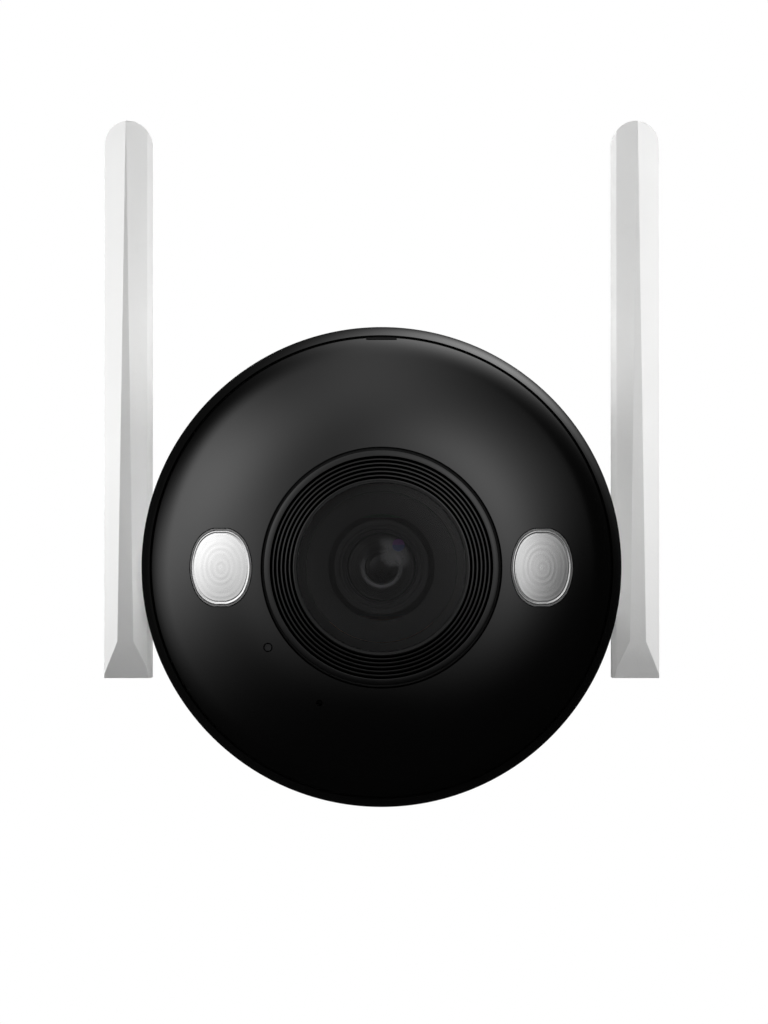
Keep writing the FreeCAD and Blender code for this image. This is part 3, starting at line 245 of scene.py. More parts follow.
def pearlLens(name, look):
    # a metallised cup seen through a moulded lens: bright, satin, with turned rings whose light and dark is
    # partly painted into the colour
    finish = Finish(name, {"IOR": 1.5, "Coat Weight": 0.12, "Coat Roughness": 0.12})
    x = (finish.axis("X").size() - look["centre"]) * look["squeeze"]
    z = finish.axis("Z")
    reach = (x * x + z * z).root()
    rings = (reach * (2 * math.pi / look["pitch"])).sine()
    grain = finish.noise(0.0003, 3)
    cloud = finish.noise(0.003, 3)
    lit = finish.blend(cloud, shade(look["shade"] * 0.92), shade(look["shade"]))
    # painted shading: the rings lighten and darken the colour a little
    finish.set("Base Color", finish.blend(rings * 0.5 + 0.5, lit, shade(look["shade"] * 1.05)))
    finish.set("Metallic", look["metal"] + (cloud - 0.5) * 0.1)
    finish.set("Roughness", look["rough"] + rings * 0.01 + (grain - 0.5) * 0.04)
    finish.bump(rings * 0.5 + grain * 0.15, look["depth"])
    return finish.material


def clearPane(name, look):
    # see-through pane: reflects by its own gloss, tints what is behind it
    finish = Finish(name, {"IOR": look["ior"]})
    smear = finish.noise(0.006, 4)
    clean, hazy = shade(look["shade"], look["tone"]), shade(look["shade"] * 1.15, look["tone"])
    finish.set("Base Color", finish.blend(smear, clean, hazy))
    finish.set("Alpha", look["body"] + (smear - 0.5) * 0.02)
    finish.set("Roughness", look["rough"] + (smear - 0.5) * 0.03)
    return finish.material


def circuitBoard(name, look):
    finish = Finish(name, {"IOR": 1.5, "Coat Weight": 0.3})
    track = finish.add("ShaderNodeTexBrick", {"offset": 0.4}, {
        "Vector": finish.where(), "Scale": 420.0, "Mortar Size": 0.012, "Mortar Smooth": 0.2}, "Fac")
    pads = finish.cells(0.0028).over(0.14, 0.02)
    cloud = finish.noise(0.006, 3)
    mask = finish.blend(cloud, shade(look["shade"] * 0.8, look["tone"]), shade(look["shade"], look["tone"]))
    lanes = finish.blend(track, mask, shade(look["shade"] * 1.9, look["tone"]))
    finish.set("Base Color", finish.blend(pads, (0.62, 0.5, 0.28), lanes))
    finish.set("Metallic", (1 - pads) * 0.8)
    finish.set("Roughness", 0.38 + (cloud - 0.5) * 0.15)
    finish.bump(track * 0.5 + pads * 0.3, 0.00004)
    return finish.material


def softRubber(name, look):
    finish = Finish(name, {"IOR": 1.45, "Sheen Weight": 0.2})
    bloom = finish.noise(0.002, 5)
    finish.set("Base Color", finish.blend(bloom, shade(look["shade"] * 0.8), shade(look["shade"] * 1.4)))
    finish.set("Roughness", look["rough"] + (bloom - 0.5) * 0.2)
    finish.bump(finish.noise(0.0004, 3), 0.00003)
    return finish.material


finishes = {
    "white_plastic": mouldedPlastic("whiteShell", {
        "shade": 0.80, "tone": (1, 1, 0.995), "grain": 0.00045, "depth": 0.000018,
        "rough": 0.46, "wear": 0.25, "worn": 0.93}),
    "white_paint": paintedMetal("whitePowderCoat", {
        "shade": 0.78, "peel": 0.0011, "depth": 0.00005, "rough": 0.4}),
    "black_plastic": mouldedPlastic("blackMoulding", {
        "shade": 0.022, "tone": (1, 1, 1.03), "grain": 0.0004, "depth": 0.00002,
        "rough": 0.5, "wear": 0.5, "worn": 1.7}),
    "black_gloss": faceGloss("satinFace", {"shade": 0.002, "ior": 1.5, "rough": 0.16, "depth": 0.0000012}),
    "black_rubber": softRubber("blackRubber", {"shade": 0.018, "rough": 0.75}),
    "black_metal": bareMetal("blackAnodised", {
        "shade": 0.03, "tone": (1, 1, 1.05), "line": 0.0003, "along": (1, 3, 1),
        "rough": 0.35, "depth": 0.000004}),
    "steel": bareMetal("zincPlate", {
        "shade": 0.6, "tone": (1, 1, 0.97), "line": 0.0005, "along": (1, 4, 1),
        "rough": 0.32, "depth": 0.000008}),
    "nylon": mouldedPlastic("nylonWasher", {
        "shade": 0.7, "tone": (1, 0.98, 0.92), "grain": 0.0004, "depth": 0.00001,
        "rough": 0.4, "wear": 0.3, "worn": 0.9}),
    "clear_plastic": clearPane("clearMoulding", {
        "shade": 0.5, "tone": (1, 1, 1), "ior": 1.5, "rough": 0.15, "body": 0.75}),
    "milky_plastic": pearlLens("pearlLens", {
        "centre": 0.0272, "shade": 0.62, "pitch": 0.0011, "squeeze": 1.28, "metal": 0.85,
        "rough": 0.24, "depth": 0.0000015}),
    "window": clearPane("coatedWindow", {
        "shade": 0.004, "tone": (1, 1, 1.05), "ior": 1.5, "rough": 0.05, "body": 0.3}),
    "lens_glass": clearPane("lensGlass", {
        "shade": 0.01, "tone": (0.5, 0.45, 1.4), "ior": 1.7, "rough": 0.06, "body": 0.25}),
    "led_phosphor": mouldedPlastic("phosphor", {
        "shade": 0.8, "tone": (1, 0.85, 0.3), "grain": 0.0003, "depth": 0.00002,
        "rough": 0.6, "wear": 0.2, "worn": 0.8}),
    "sensor_face": clearPane("sensorCover", {
        "shade": 0.03, "tone": (0.8, 0.6, 1.3), "ior": 1.5, "rough": 0.1, "body": 0.95}),
    "circuit_board": circuitBoard("solderMask", {"shade": 0.09, "tone": (0.15, 1.0, 0.45)}),
    "chip_black": mouldedPlastic("chipResin", {
        "shade": 0.03, "tone": (1, 1, 1), "grain": 0.0003, "depth": 0.00002,
        "rough": 0.55, "wear": 0.3, "worn": 1.5}),
    "copper": bareMetal("windingWire", {
        "shade": 0.8, "tone": (1, 0.5, 0.28), "line": 0.0002, "along": (6, 1, 1),
        "rough": 0.3, "depth": 0.00005}),
    "bare_aluminium": bareMetal("aluminium", {
        "shade": 0.78, "tone": (1, 1, 1), "line": 0.0003, "along": (1, 5, 1),
        "rough": 0.35, "depth": 0.00001}),
    "reflector": bareMetal("metallised", {
        "shade": 0.85, "tone": (1, 1, 1), "line": 0.0006, "along": (1, 1, 1),
        "rough": 0.16, "depth": 0.00001}),
}
bezelFinish = faceGloss("glossBezel", {"shade": 0.003, "ior": 1.5, "rough": 0.18, "depth": 0.000001})
# hood ribs with painted shade in their grooves
ribFinish = ribsWithShadedGrooves("ribsWithShadedGrooves", {
    "shade": 0.003, "rough": 0.2, "ior": 1.46, "depth": 0.000001,
    "first": 0.014802, "pitch": 0.000683, "land": 0.4, "ribs": 6})
slotOf = {item["node"]: item["material_slot"] for item in frame["record"]["subparts"]}
for node, thing in nodes.items():  # every CAD node that stays gets its finish
    thing.data.materials.clear()
    thing.data.materials.append(finishes[slotOf[node]])
print("finishes made:", len(bpy.data.materials))


# pieces

def makePiece(name, mesh, body, replaced, finish=None, slot=None):
    thing = bpy.data.objects.new(name, mesh)
    bpy.context.scene.collection.objects.link(thing)
    slot = slot or slotOf[replaced[0]]
    mesh.materials.clear()
    mesh.materials.append(finish or finishes[slot])
    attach(thing, body)
    if replaced:
        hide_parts(*replaced)
    return thing


def inMetres(outline):
    return [(r * mm, y * mm) for r, y in outline]


def bridge(bm, upper, lower, flip=False):
    # a band of quads between two closed rows of points
    count = len(upper)
    for k in range(count):
        quad = [upper[k], upper[(k + 1) % count], lower[(k + 1) % count], lower[k]]
        bm.faces.new(quad[::-1] if flip else quad)


def finishMesh(name, bm, sharp=32):
    mesh = bpy.data.meshes.new(name)
    bmesh.ops.recalc_face_normals(bm, faces=bm.faces)
    for face in bm.faces:
        face.smooth = True
    for edge in bm.edges:
        if edge.is_manifold and edge.calc_face_angle() > math.radians(sharp):
            edge.smooth = False
    bm.to_mesh(mesh)
    bm.free()
    return mesh


def roundOff(profile, radius, steps=4):
    # rounds the corners of a closed (radius, y) outline; a point may carry its own radius
    points = []
    count = len(profile)
    for i, item in enumerate(profile):
        here = np.array(item[:2], float)
        want = item[2] if len(item) > 2 else radius
        before = np.array(profile[i - 1][:2]) - here
        after = np.array(profile[(i + 1) % count][:2]) - here
        room = min(np.linalg.norm(before), np.linalg.norm(after)) * 0.45
        if want < 1e-7 or room < 1e-7:
            points.append(tuple(here))
            continue
        a, b = before / np.linalg.norm(before), after / np.linalg.norm(after)
        half = math.acos(max(-1, min(1, float(a @ b)))) / 2
        if half > math.radians(86):
            points.append(tuple(here))
            continue
        cut = min(want / math.tan(half), room)
        for k in range(steps + 1):
            t = k / steps
            points.append(tuple(here + a * cut * (1 - t) ** 2 + b * cut * t ** 2))
    return points


def turned(name, outline, count=256, sharp=32):
    # a closed (radius, y) outline turned about the Y axis
    bm = bmesh.new()
    rings = []
    turns = [2 * math.pi * k / count for k in range(count)]
    for radius, y in outline:
        if radius < 1e-7:
            rings.append([bm.verts.new((0, y, 0))] * count)
        else:
            rings.append([bm.verts.new((radius * math.cos(a), y, radius * math.sin(a))) for a in turns])
    for first, second in zip(rings, rings[1:] + rings[:1]):
        for k in range(count):
            corners = []
            for vert in (first[k], first[(k + 1) % count], second[(k + 1) % count], second[k]):
                if vert not in corners:
                    corners.append(vert)
            if len(corners) > 2:
                bm.faces.new(corners)
    return finishMesh(name, bm, sharp)


softEdge = {"steps": 3, "angle": 28, "weld": 0.000002, "flat": 0.6}


def softened(node, width, finish=None):
    # the CAD node's own shape with real rounded edges
    source = nodes[node]
    bm = bmesh.new()
    bm.from_mesh(source.data)
    bmesh.ops.remove_doubles(bm, verts=bm.verts, dist=softEdge["weld"])
    flat = math.radians(softEdge["flat"])
    bmesh.ops.dissolve_limit(bm, angle_limit=flat, verts=bm.verts, edges=bm.edges)
    mesh = finishMesh(node + "Mesh", bm, softEdge["angle"])
    piece = makePiece(node + "Looks", mesh, source["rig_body"], [node], finish)
    edge = piece.modifiers.new("edges", "BEVEL")
    edge.width = width
    edge.segments = softEdge["steps"]
    edge.limit_method = "ANGLE"
    edge.angle_limit = math.radians(softEdge["angle"])
    edge.harden_normals = True
    edge.use_clamp_overlap = True


# the black face

face = {"rimRadius": 41.0, "rimY": -214.0, "seam": 39.34, "cover": 39.18, "recess": 20.36, "wall": 2.2,
        "rollCentre": (32.099, -212.108), "roll": 9.1, "crownCentre": (15.016, -173.739), "crown": 51.1,
        "crownEdge": 35.80, "soft": 0.09, "seamSoft": 0.14}
cover = {"margin": 0.22, "rowStep": 0.54, "spacing": 0.62, "rollSteps": 5, "rimDepth": 2.4, "hoodDepth": 5.4,
         "rimPoints": 300, "recessPoints": 240, "porePoints": 28, "notchHalf": 2.55, "notchDeep": 0.55}
spots = {"x": 27.2, "tall": 6.27, "wide": 4.97, "bend": 4.01, "inset": 0.93, "flat": 0.97, "corner": 4.35,
         "flank": 9.1, "gasket": 0.35}
pores = [(-19.2, -13.5, 0.7), (-10.5, -22.9, 0.45)]  # light sensor and microphone


def faceY(reach):
    if reach <= face["crownEdge"]:
        r, y = face["crownCentre"]
        return y - math.sqrt(face["crown"] ** 2 - (reach - r) ** 2)
    r, y = face["rollCentre"]
    return y - math.sqrt(max(face["roll"] ** 2 - (reach - r) ** 2, 0))


def faceSlope(x, z):
    reach = math.hypot(x, z)
    step = 0.001
    rise = (faceY(reach + step) - faceY(reach - step)) / (2 * step)
    return Vector((rise * x / reach, -1, rise * z / reach)).normalized()


def onFace(x, z, sink=0.0):
    return Vector((x, faceY(math.hypot(x, z)) + sink, z))


def arcBetween(start, end, radius, steps):
    # the shorter anticlockwise arc from start to end
    (ax, az), (bx, bz) = start, end
    dx, dz = bx - ax, bz - az
    chord = math.hypot(dx, dz)
    reach = math.sqrt(max(radius ** 2 - chord ** 2 / 4, 0))
    cx, cz = (ax + bx) / 2 - dz / chord * reach, (az + bz) / 2 + dx / chord * reach
    first, last = math.atan2(az - cz, ax - cx), math.atan2(bz - cz, bx - cx)
    if last < first:
        last += 2 * math.pi
    return [(cx + radius * math.cos(first + (last - first) * k / steps),
             cz + radius * math.sin(first + (last - first) * k / steps)) for k in range(steps)]


def ovalOutline(side, grow, steps=14):
    tall, wide, bend = spots["tall"] + grow, spots["wide"] + grow, spots["bend"]
    cheek, flat = wide - spots["inset"], spots["flat"] + grow
    corner, flank = spots["corner"] + grow, spots["flank"] + grow
    ring = arcBetween((cheek, -bend), (cheek, bend), flank, steps * 2)
    ring += arcBetween((cheek, bend), (flat, tall), corner, steps)
    ring += [(flat + (-2 * flat) * k / 8, tall) for k in range(8)]
    ring += arcBetween((-flat, tall), (-cheek, bend), corner, steps)
    ring += arcBetween((-cheek, bend), (-cheek, -bend), flank, steps * 2)
    ring += arcBetween((-cheek, -bend), (-flat, -tall), corner, steps)
    ring += [(-flat + (2 * flat) * k / 8, -tall) for k in range(8)]
    ring += arcBetween((flat, -tall), (cheek, -bend), corner, steps)
    return [(side * spots["x"] + x, z) for x, z in ring]


def circleOutline(x, z, radius, count):
    turns = [2 * math.pi * k / count for k in range(count)]
    return [(x + radius * math.cos(a), z + radius * math.sin(a)) for a in turns]


def notchedRim(count, radius):
    # the cover's outer edge, with the small square notch at the top
    half, low = cover["notchHalf"], face["seam"] - cover["notchDeep"]
    gap = math.asin(half / radius)
    angles = [math.pi / 2 + gap + k * (2 * math.pi - 2 * gap) / count for k in range(count + 1)]
    ring = [(radius * math.cos(a), radius * math.sin(a)) for a in angles]
    return ring + [(half - 2 * half * k / 8, low) for k in range(9)]


def shrunk(outline, by):
    # moves every point inward along the outline's normal (outline runs anticlockwise)
    count = len(outline)
    moved = []
    for k in range(count):
        (ax, az), (bx, bz) = outline[k - 1], outline[(k + 1) % count]
        length = math.hypot(bx - ax, bz - az) or 1
        moved.append((outline[k][0] - (bz - az) / length * by, outline[k][1] + (bx - ax) / length * by))
    return moved


def inside(x, z, ring):
    crossed = False
    for (ax, az), (bx, bz) in zip(ring, ring[1:] + ring[:1]):
        if (az > z) != (bz > z) and x < (bx - ax) * (z - az) / (bz - az) + ax:
            crossed = not crossed
    return crossed


def withinCover(x, z, rings):  # inside the rim and outside every opening
    return inside(x, z, rings[0]) and not any(inside(x, z, ring) for ring in rings[1:])


def domePoints(insets):
    # rows of points over the dome, kept clear of the edges
    clear = [shrunk(ring, cover["margin"] if k == 0 else -cover["margin"]) for k, ring in enumerate(insets)]
    points = []
    reach = face["recess"] + 0.5
    row = 0
    while reach < face["cover"] - 0.3:
        count = int(2 * math.pi * reach / cover["spacing"])
        for k in range(count):
            a = 2 * math.pi * (k + 0.5 * (row % 2)) / count
            x, z = reach * math.cos(a), reach * math.sin(a)
            if withinCover(x, z, clear):
                points.append((x, z))
        reach += cover["rowStep"]
        row += 1
    return points


def rolledRows(bm, normals, first, outline, inset, soft, depth):
    # an opening's edge rolls over and runs back through the wall
    rows = [first]
    for step in range(1, cover["rollSteps"] + 1):
        turn = math.radians(90 * step / cover["rollSteps"])
        part = math.sin(turn)
        line = []
        for (ox, oz), (ix, iz) in zip(outline, inset):
            x, z = ix + (ox - ix) * part, iz + (oz - iz) * part
            vert = bm.verts.new(onFace(x, z, soft * (1 - math.cos(turn))) * mm)
            away = Vector((ox - ix, 0, oz - iz)).normalized()
            normals[vert] = (faceSlope(ix, iz) * math.cos(turn) + away * part).normalized()
            line.append(vert)
        rows.append(line)
    last = []
    for (ox, oz), (ix, iz) in zip(outline, inset):
        vert = bm.verts.new(onFace(ox, oz, depth) * mm)
        normals[vert] = Vector((ox - ix, 0, oz - iz)).normalized()
        last.append(vert)
    return rows + [last]


def coverMesh():
    # the domed cover: its rim, the hood's opening, two ovals and two pores
    outlines = [notchedRim(cover["rimPoints"], face["cover"]),
                circleOutline(0, 0, face["recess"], cover["recessPoints"])]
    outlines += [ovalOutline(side, spots["gasket"]) for side in (-1, 1)]
    outlines += [circleOutline(x, z, radius, cover["porePoints"]) for x, z, radius in pores]
    softs = [face["seamSoft"]] + [face["soft"]] * (len(outlines) - 1)
    depths = [cover["rimDepth"], cover["hoodDepth"]] + [face["wall"]] * (len(outlines) - 2)
    insets = [shrunk(ring, soft if k == 0 else -soft) for k, (ring, soft) in enumerate(zip(outlines, softs))]

    points = []
    borders = []
    for ring in insets:
        start = len(points)
        points += ring
        borders += [(start + k, start + (k + 1) % len(ring)) for k in range(len(ring))]
    points += domePoints(insets)
    made = geometry.delaunay_2d_cdt([Vector(p) for p in points], borders, [], 0, 1e-6)
    places, triangles = made[0], made[2]

    bm = bmesh.new()
    verts = [bm.verts.new(onFace(p.x, p.y) * mm) for p in places]
    normals = {vert: faceSlope(p.x, p.y) for vert, p in zip(verts, places)}
    for corners in triangles:
        x = sum(places[k].x for k in corners) / len(corners)
        z = sum(places[k].y for k in corners) / len(corners)
        if withinCover(x, z, insets):
            flat = [verts[k] for k in corners]
            a, b, c = [v.co for v in flat[:3]]
            bm.faces.new(flat if (b - a).cross(c - a).y < 0 else flat[::-1])

    byPlace = {(round(p.x, 4), round(p.y, 4)): vert for vert, p in zip(verts, places)}
    for k, (outline, inset) in enumerate(zip(outlines, insets)):
        first = [byPlace[(round(x, 4), round(z, 4))] for x, z in inset]
        rows = rolledRows(bm, normals, first, outline, inset, softs[k], depths[k])
        for upper, lower in zip(rows, rows[1:]):
            bridge(bm, upper, lower, k > 0)

    loose = [vert for vert in bm.verts if not vert.link_faces]
    for vert in loose:
        normals.pop(vert, None)
    bmesh.ops.delete(bm, geom=loose, context="VERTS")
    bm.verts.index_update()
    for patch in bm.faces:
        patch.smooth = True
    held = [None] * len(bm.verts)
    for vert, normal in normals.items():
        held[vert.index] = tuple(normal)
    mesh = bpy.data.meshes.new("faceCover")
    bm.to_mesh(mesh)
    bm.free()
    mesh.normals_split_custom_set_from_vertices(held)
    return mesh


faceCover = makePiece("faceCover", coverMesh(), "camera", ["front_cover"])
print("face cover:", len(faceCover.data.polygons), "faces")

bezel = {"rear": -200.0, "bore": 39.2, "skirt": 40.2, "chamfer": 40.75, "chamferSoft": 0.4, "band": -204.0,
         "bandSoft": 1.0, "rollSteps": 14, "lip": 0.17, "lipDrop": 0.06, "wellFloor": -213.4, "ledge": 37.44,
         "seat": -207.0}


def bezelOutline():
    # skirt, widest band, then the roll down into the seam
    rim, rear, lip = face["rimRadius"], bezel["rear"], bezel["lip"]
    skirt = [(bezel["bore"], rear), (bezel["skirt"], rear), (bezel["chamfer"], rear, bezel["chamferSoft"]),
             (rim, bezel["band"], bezel["bandSoft"]), (rim, face["rimY"]), (rim, face["rimY"] - 0.01)]
    points = roundOff(skirt, 0.0, 6)[:-1]
    r0, y0 = face["rollCentre"]
    start = math.acos((rim - r0) / face["roll"])
    end = math.acos((face["seam"] + lip - r0) / face["roll"])
    for k in range(bezel["rollSteps"] + 1):
        a = start + (end - start) * k / bezel["rollSteps"]
        points.append((r0 + face["roll"] * math.cos(a), y0 - face["roll"] * math.sin(a)))
    top = points[-1][1]
    for k in range(1, 7):
        a = math.radians(15 * k)
        drop = lip * (1 - math.cos(a)) + bezel["lipDrop"] * math.sin(a)
        points.append((face["seam"] + lip * (1 - math.sin(a)), top + drop))
    points += [(face["seam"], bezel["wellFloor"]), (bezel["ledge"], bezel["wellFloor"]),
               (bezel["ledge"], bezel["seat"]), (bezel["bore"], bezel["seat"])]
    return inMetres(points)


makePiece("glossBezel", turned("glossBezel", bezelOutline(), 384, 40), "camera", ["front_bezel"], bezelFinish)

# ribbed hood, window and what is seen behind it
hood = {"outer": 19.92, "front": -224.107, "frontSoft": 0.14, "lip": 18.9, "pitch": 0.683, "drop": 0.72,
        "ribs": 6, "lipLean": 0.16, "ribLean": 0.04, "groove": 0.383, "grooveSlope": 0.12, "grooveDeep": 0.9,
        "ribEnd": -219.787, "glass": 14.45, "seat": -219.387, "thick": 2.0, "glassBack": -216.887,
        "bore": 12.85, "flange": 22.52, "flangeFront": -218.957, "back": -215.957}


def hoodOutline():
    points = [(hood["outer"], hood["flangeFront"]), (hood["outer"], hood["front"], hood["frontSoft"])]
    lean = hood["lipLean"]
    for i in range(hood["ribs"]):  # each rib's edge stands a little proud of the groove inside it
        edge, top = hood["lip"] - i * hood["pitch"], hood["front"] + i * hood["drop"]
        floor = top + hood["grooveDeep"]
        points += [(edge, top - lean, 0.06), (edge - hood["grooveSlope"], floor, 0.05),
                   (edge - hood["groove"], floor, 0.05),
                   (edge - hood["groove"], top + hood["drop"] + 0.02, 0.07)]
        lean = hood["ribLean"]
    last = hood["lip"] - hood["ribs"] * hood["pitch"]
    points += [(last, hood["ribEnd"] - lean, 0.05), (last, hood["seat"]), (hood["glass"], hood["seat"]),
               (hood["glass"], hood["glassBack"]), (hood["bore"], hood["glassBack"]),
               (hood["bore"], hood["back"], 0.2), (hood["flange"], hood["back"], 0.2),
               (hood["flange"], hood["flangeFront"], 0.2)]
    return inMetres(roundOff(points, 0.0, 3))


makePiece("ribbedHood", turned("ribbedHood", hoodOutline(), 360, 40), "camera", ["lens_hood"], ribFinish)


def discOutline(radius, front, back, edge):
    half = radius * 0.5
    disc = [(0, front), (half, front), (radius, front, edge), (radius, back, edge), (half, back), (0, back)]
    return inMetres(roundOff(disc, 0, 4))


windowOutline = discOutline(hood["glass"], hood["seat"], hood["seat"] + hood["thick"], 0.2)
makePiece("frontWindow", turned("frontWindow", windowOutline, 256, 40), "camera", ["window_glass"])

# lens stack behind the window: baffle, barrel face with its groove, a stepped cone and glass domes
baffle = {"front": -216.517, "inner": 9.1, "outer": 12.8, "thick": 0.6}
lens = {"front": -216.587, "head": -216.937, "rear": -209.5, "bore": 6.32, "groove": (6.86, 7.22),
        "grooveDeep": 0.3, "outer": 8.1, "glass": 5.9, "dome": 17.905, "apex": -216.687, "glassThick": 0.5}
cone = {"steps": 9, "mouth": 5.55, "end": 3.55, "depth": 2.6, "iris": 2.85, "tread": 0.55, "riser": 0.6,
        "stop": 1.5, "outer": 5.6}
iris = {"radius": 2.83, "dome": 5.2, "apex": -212.9, "thick": 0.35}


def baffleOutline():
    front, back = baffle["front"], baffle["front"] + baffle["thick"]
    return inMetres(roundOff([
        (baffle["inner"], front, 0.06), (baffle["inner"], back), (baffle["outer"], back),
        (baffle["outer"], front, 0.06)], 0.0, 3))


def lensHeadOutline():
    head, rear, outer = lens["head"], lens["rear"], lens["outer"]
    floor = head + lens["grooveDeep"]
    inner, wide = lens["groove"]
    points = [(lens["bore"], rear, 0), (lens["bore"], floor, 0.04), (inner - 0.08, head + 0.04, 0.05),
              (inner, floor, 0.04), (wide, floor, 0.04), (wide + 0.06, head, 0.05), (outer - 0.08, head, 0.1),
              (outer, head + 0.1, 0.0), (outer, rear, 0)]
    return inMetres(roundOff(points[::-1], 0.03, 3))


def domeOutline(radius, curve, apex, thick, steps=24):
    # a glass shell: domed front, hollow behind
    reaches = [radius * k / steps for k in range(steps + 1)]
    front = [(r, apex + curve - math.sqrt(curve ** 2 - r ** 2)) for r in reaches]
    back = [(r, y + thick) for r, y in front[::-1]]
    return inMetres(front + back)


def coneOutline():
    # fine steps that narrow to the iris and then the deeper lens group
    start = lens["front"] + 0.9
    deep = cone["depth"] / cone["steps"]
    narrow = (cone["mouth"] - cone["end"]) / cone["steps"]
    points = []
    for i in range(cone["steps"]):
        r, y = cone["mouth"] - narrow * i, start + deep * i
        points += [(r, y, 0.02), (r - narrow * cone["tread"], y + 0.03, 0.02),
                   (r - narrow * cone["riser"], y + deep, 0.02)]
    end = start + cone["depth"]
    points += [(cone["end"] - 0.05, end, 0.03), (cone["iris"] + 0.05, end + 0.5, 0.05),
               (cone["iris"], end + 0.6, 0.03), (cone["iris"], end + 2.6, 0), (cone["stop"], end + 3.2, 0.05),
               (cone["stop"], end + 3.6, 0), (cone["outer"], end + 3.6, 0), (cone["outer"], start, 0)]
    return inMetres(roundOff(points, 0.02, 2))


def glintPaintedGlass(name, look):
    # lens glass with painted reflections: one soft spot of blue and violet painted as the coating's
    # reflection, a painted ring of light and a painted fan of sheen
    finish = Finish(name, {"IOR": look["ior"]})
    across, up = finish.axis("X"), finish.axis("Z")
    x, z = across - look["spot"][0], up - look["spot"][1]
    # painted reflection: a soft round spot, violet above and blue below
    glint = 1 - (x * x + z * z).root().over(look["glintReach"], look["glintBlur"])
    tint = finish.blend(z.over(look["split"], look["splitBlur"]), look["low"], look["high"])
    reach = (across * across + up * up).root() + 0.00001
    ring = reach.over(look["ringIn"], 0.0002) * (1 - reach.over(look["ringOut"], 0.00025))
    fan = ((across + up * 1.1) / reach).over(1.15, 0.3)
    fan = fan * reach.over(look["fanIn"], 0.0006) * (1 - reach.over(look["fanOut"], 0.0009))
    # painted highlight: the ring is brightest at the bottom, the fan lightens the upper right
    sheen = (ring * (0.45 - up / reach * 0.55) + fan * 0.8).capped()
    glass = finish.blend(sheen, shade(look["shade"]), look["sheen"])
    haze = finish.noise(0.002, 3)
    finish.set("Base Color", finish.blend(glint, glass, tint))
    finish.set("Roughness", look["rough"] + haze * 0.03)
    # the painted highlights are made less see-through
    solid = (glint + sheen * 0.5).capped()
    finish.set("Alpha", look["body"] + solid * (0.94 - look["body"]) + (haze - 0.5) * 0.02)
    return finish.material


def irisGlass(name, look):
    # painted highlights: a brighter ring at the edge and patchy brown glints near the middle
    finish = Finish(name, {"IOR": look["ior"]})
    x, z = finish.axis("X"), finish.axis("Z")
    reach = (x * x + z * z).root()
    litRing = reach.over(look["edge"], 0.00012)
    brownGlints = finish.noise(0.0009, 2).over(0.56, 0.06) * (1 - reach.over(look["brownGlintReach"], 0.0004))
    base = finish.blend(brownGlints, shade(look["shade"], (0.8, 0.9, 1)), look["brownGlints"])
    finish.set("Base Color", finish.blend(litRing, base, shade(look["shade"] * 6)))
    finish.set("Roughness", look["rough"] + finish.noise(0.001, 3) * 0.04)
    return finish.material


baffleFinish = mouldedPlastic("baffleBlack", {
    "shade": 0.036, "tone": (1, 1, 1.02), "grain": 0.0005, "depth": 0.0000003,
    "rough": 0.7, "wear": 0.1, "worn": 1.2})
headFinish = mouldedPlastic("lensHeadBlack", {
    "shade": 0.028, "tone": (1, 1, 1.04), "grain": 0.0003, "depth": 0.000002,
    "rough": 0.6, "wear": 0.1, "worn": 1.2})
# where and how bright the front element's painted reflections are: spot, ring and fan
elementFinish = glintPaintedGlass("frontElementPaintedGlint", {
    "ior": 1.4, "spot": (0.0029, 0.00376), "glintReach": 0.00108, "glintBlur": 0.00012, "split": 0.00005,
    "splitBlur": 0.00018, "low": (0.1, 0.13, 0.34), "high": (0.28, 0.1, 0.4),
    "ringIn": 0.00295, "ringOut": 0.0036, "fanIn": 0.0012, "fanOut": 0.0049, "sheen": (0.5, 0.5, 0.52),
    "shade": 0.006, "rough": 0.12, "body": 0.22})
# cone steps with painted shade in their grooves
coneFinish = ribsWithShadedGrooves("coneBlack", {
    "shade": 0.02, "rough": 0.4, "depth": 0.000002, "first": 0.0, "pitch": 0.00022, "land": 0.6, "ribs": 20})
irisFinish = irisGlass("irisGlass", {
    "ior": 1.5, "edge": 0.00262, "brownGlintReach": 0.0011, "brownGlints": (0.035, 0.022, 0.014),
    "shade": 0.004, "rough": 0.1})

elementOutline = domeOutline(lens["glass"], lens["dome"], lens["apex"], lens["glassThick"])
irisOutline = domeOutline(iris["radius"], iris["dome"], iris["apex"], iris["thick"], 16)
makePiece("lensBaffle", turned("lensBaffle", baffleOutline(), 200, 40), "camera", ["lens_baffle"],
          baffleFinish)
makePiece("lensHead", turned("lensHead", lensHeadOutline(), 200, 40), "camera", ["lens_barrel"], headFinish)
makePiece("frontElement", turned("frontElement", elementOutline, 160, 50), "camera", ["lens_front_element"],
          elementFinish)
makePiece("lensCone", turned("lensCone", coneOutline(), 160, 40), "camera", [], coneFinish, "black_metal")
makePiece("irisElement", turned("irisElement", irisOutline, 120, 50), "camera", [], irisFinish, "lens_glass")


# spotlight windows: domed ovals with turned rings and a double rim
pearl = {"edge": 0.12, "shoulder": 0.4, "line": 0.62, "pitch": 0.9, "groove": 0.0022, "rowStep": 0.085,
         "reach": 7.0, "thick": 1.6}
gasket = {"gap": 0.03, "outerGap": 0.02, "proud": 0.05, "edge": 0.16, "deep": 1.6}


def pearlSink(away):
    # how deep the window's front lies under the dome, going inward from its edge
    edge, shoulder, line = pearl["edge"], pearl["shoulder"], pearl["line"]
    if away < edge:
        return edge - away
    if away < shoulder:
        return 0.02 + 0.05 * ((away - edge) / (shoulder - edge)) ** 2
    if away < line:  # step line inside the rim
        return 0.07 + 0.05 * math.sin((away - shoulder) / (line - shoulder) * math.pi)
    return 0.06 + pearl["groove"] * (0.5 - 0.5 * math.cos((away - line) / pearl["pitch"] * 2 * math.pi))


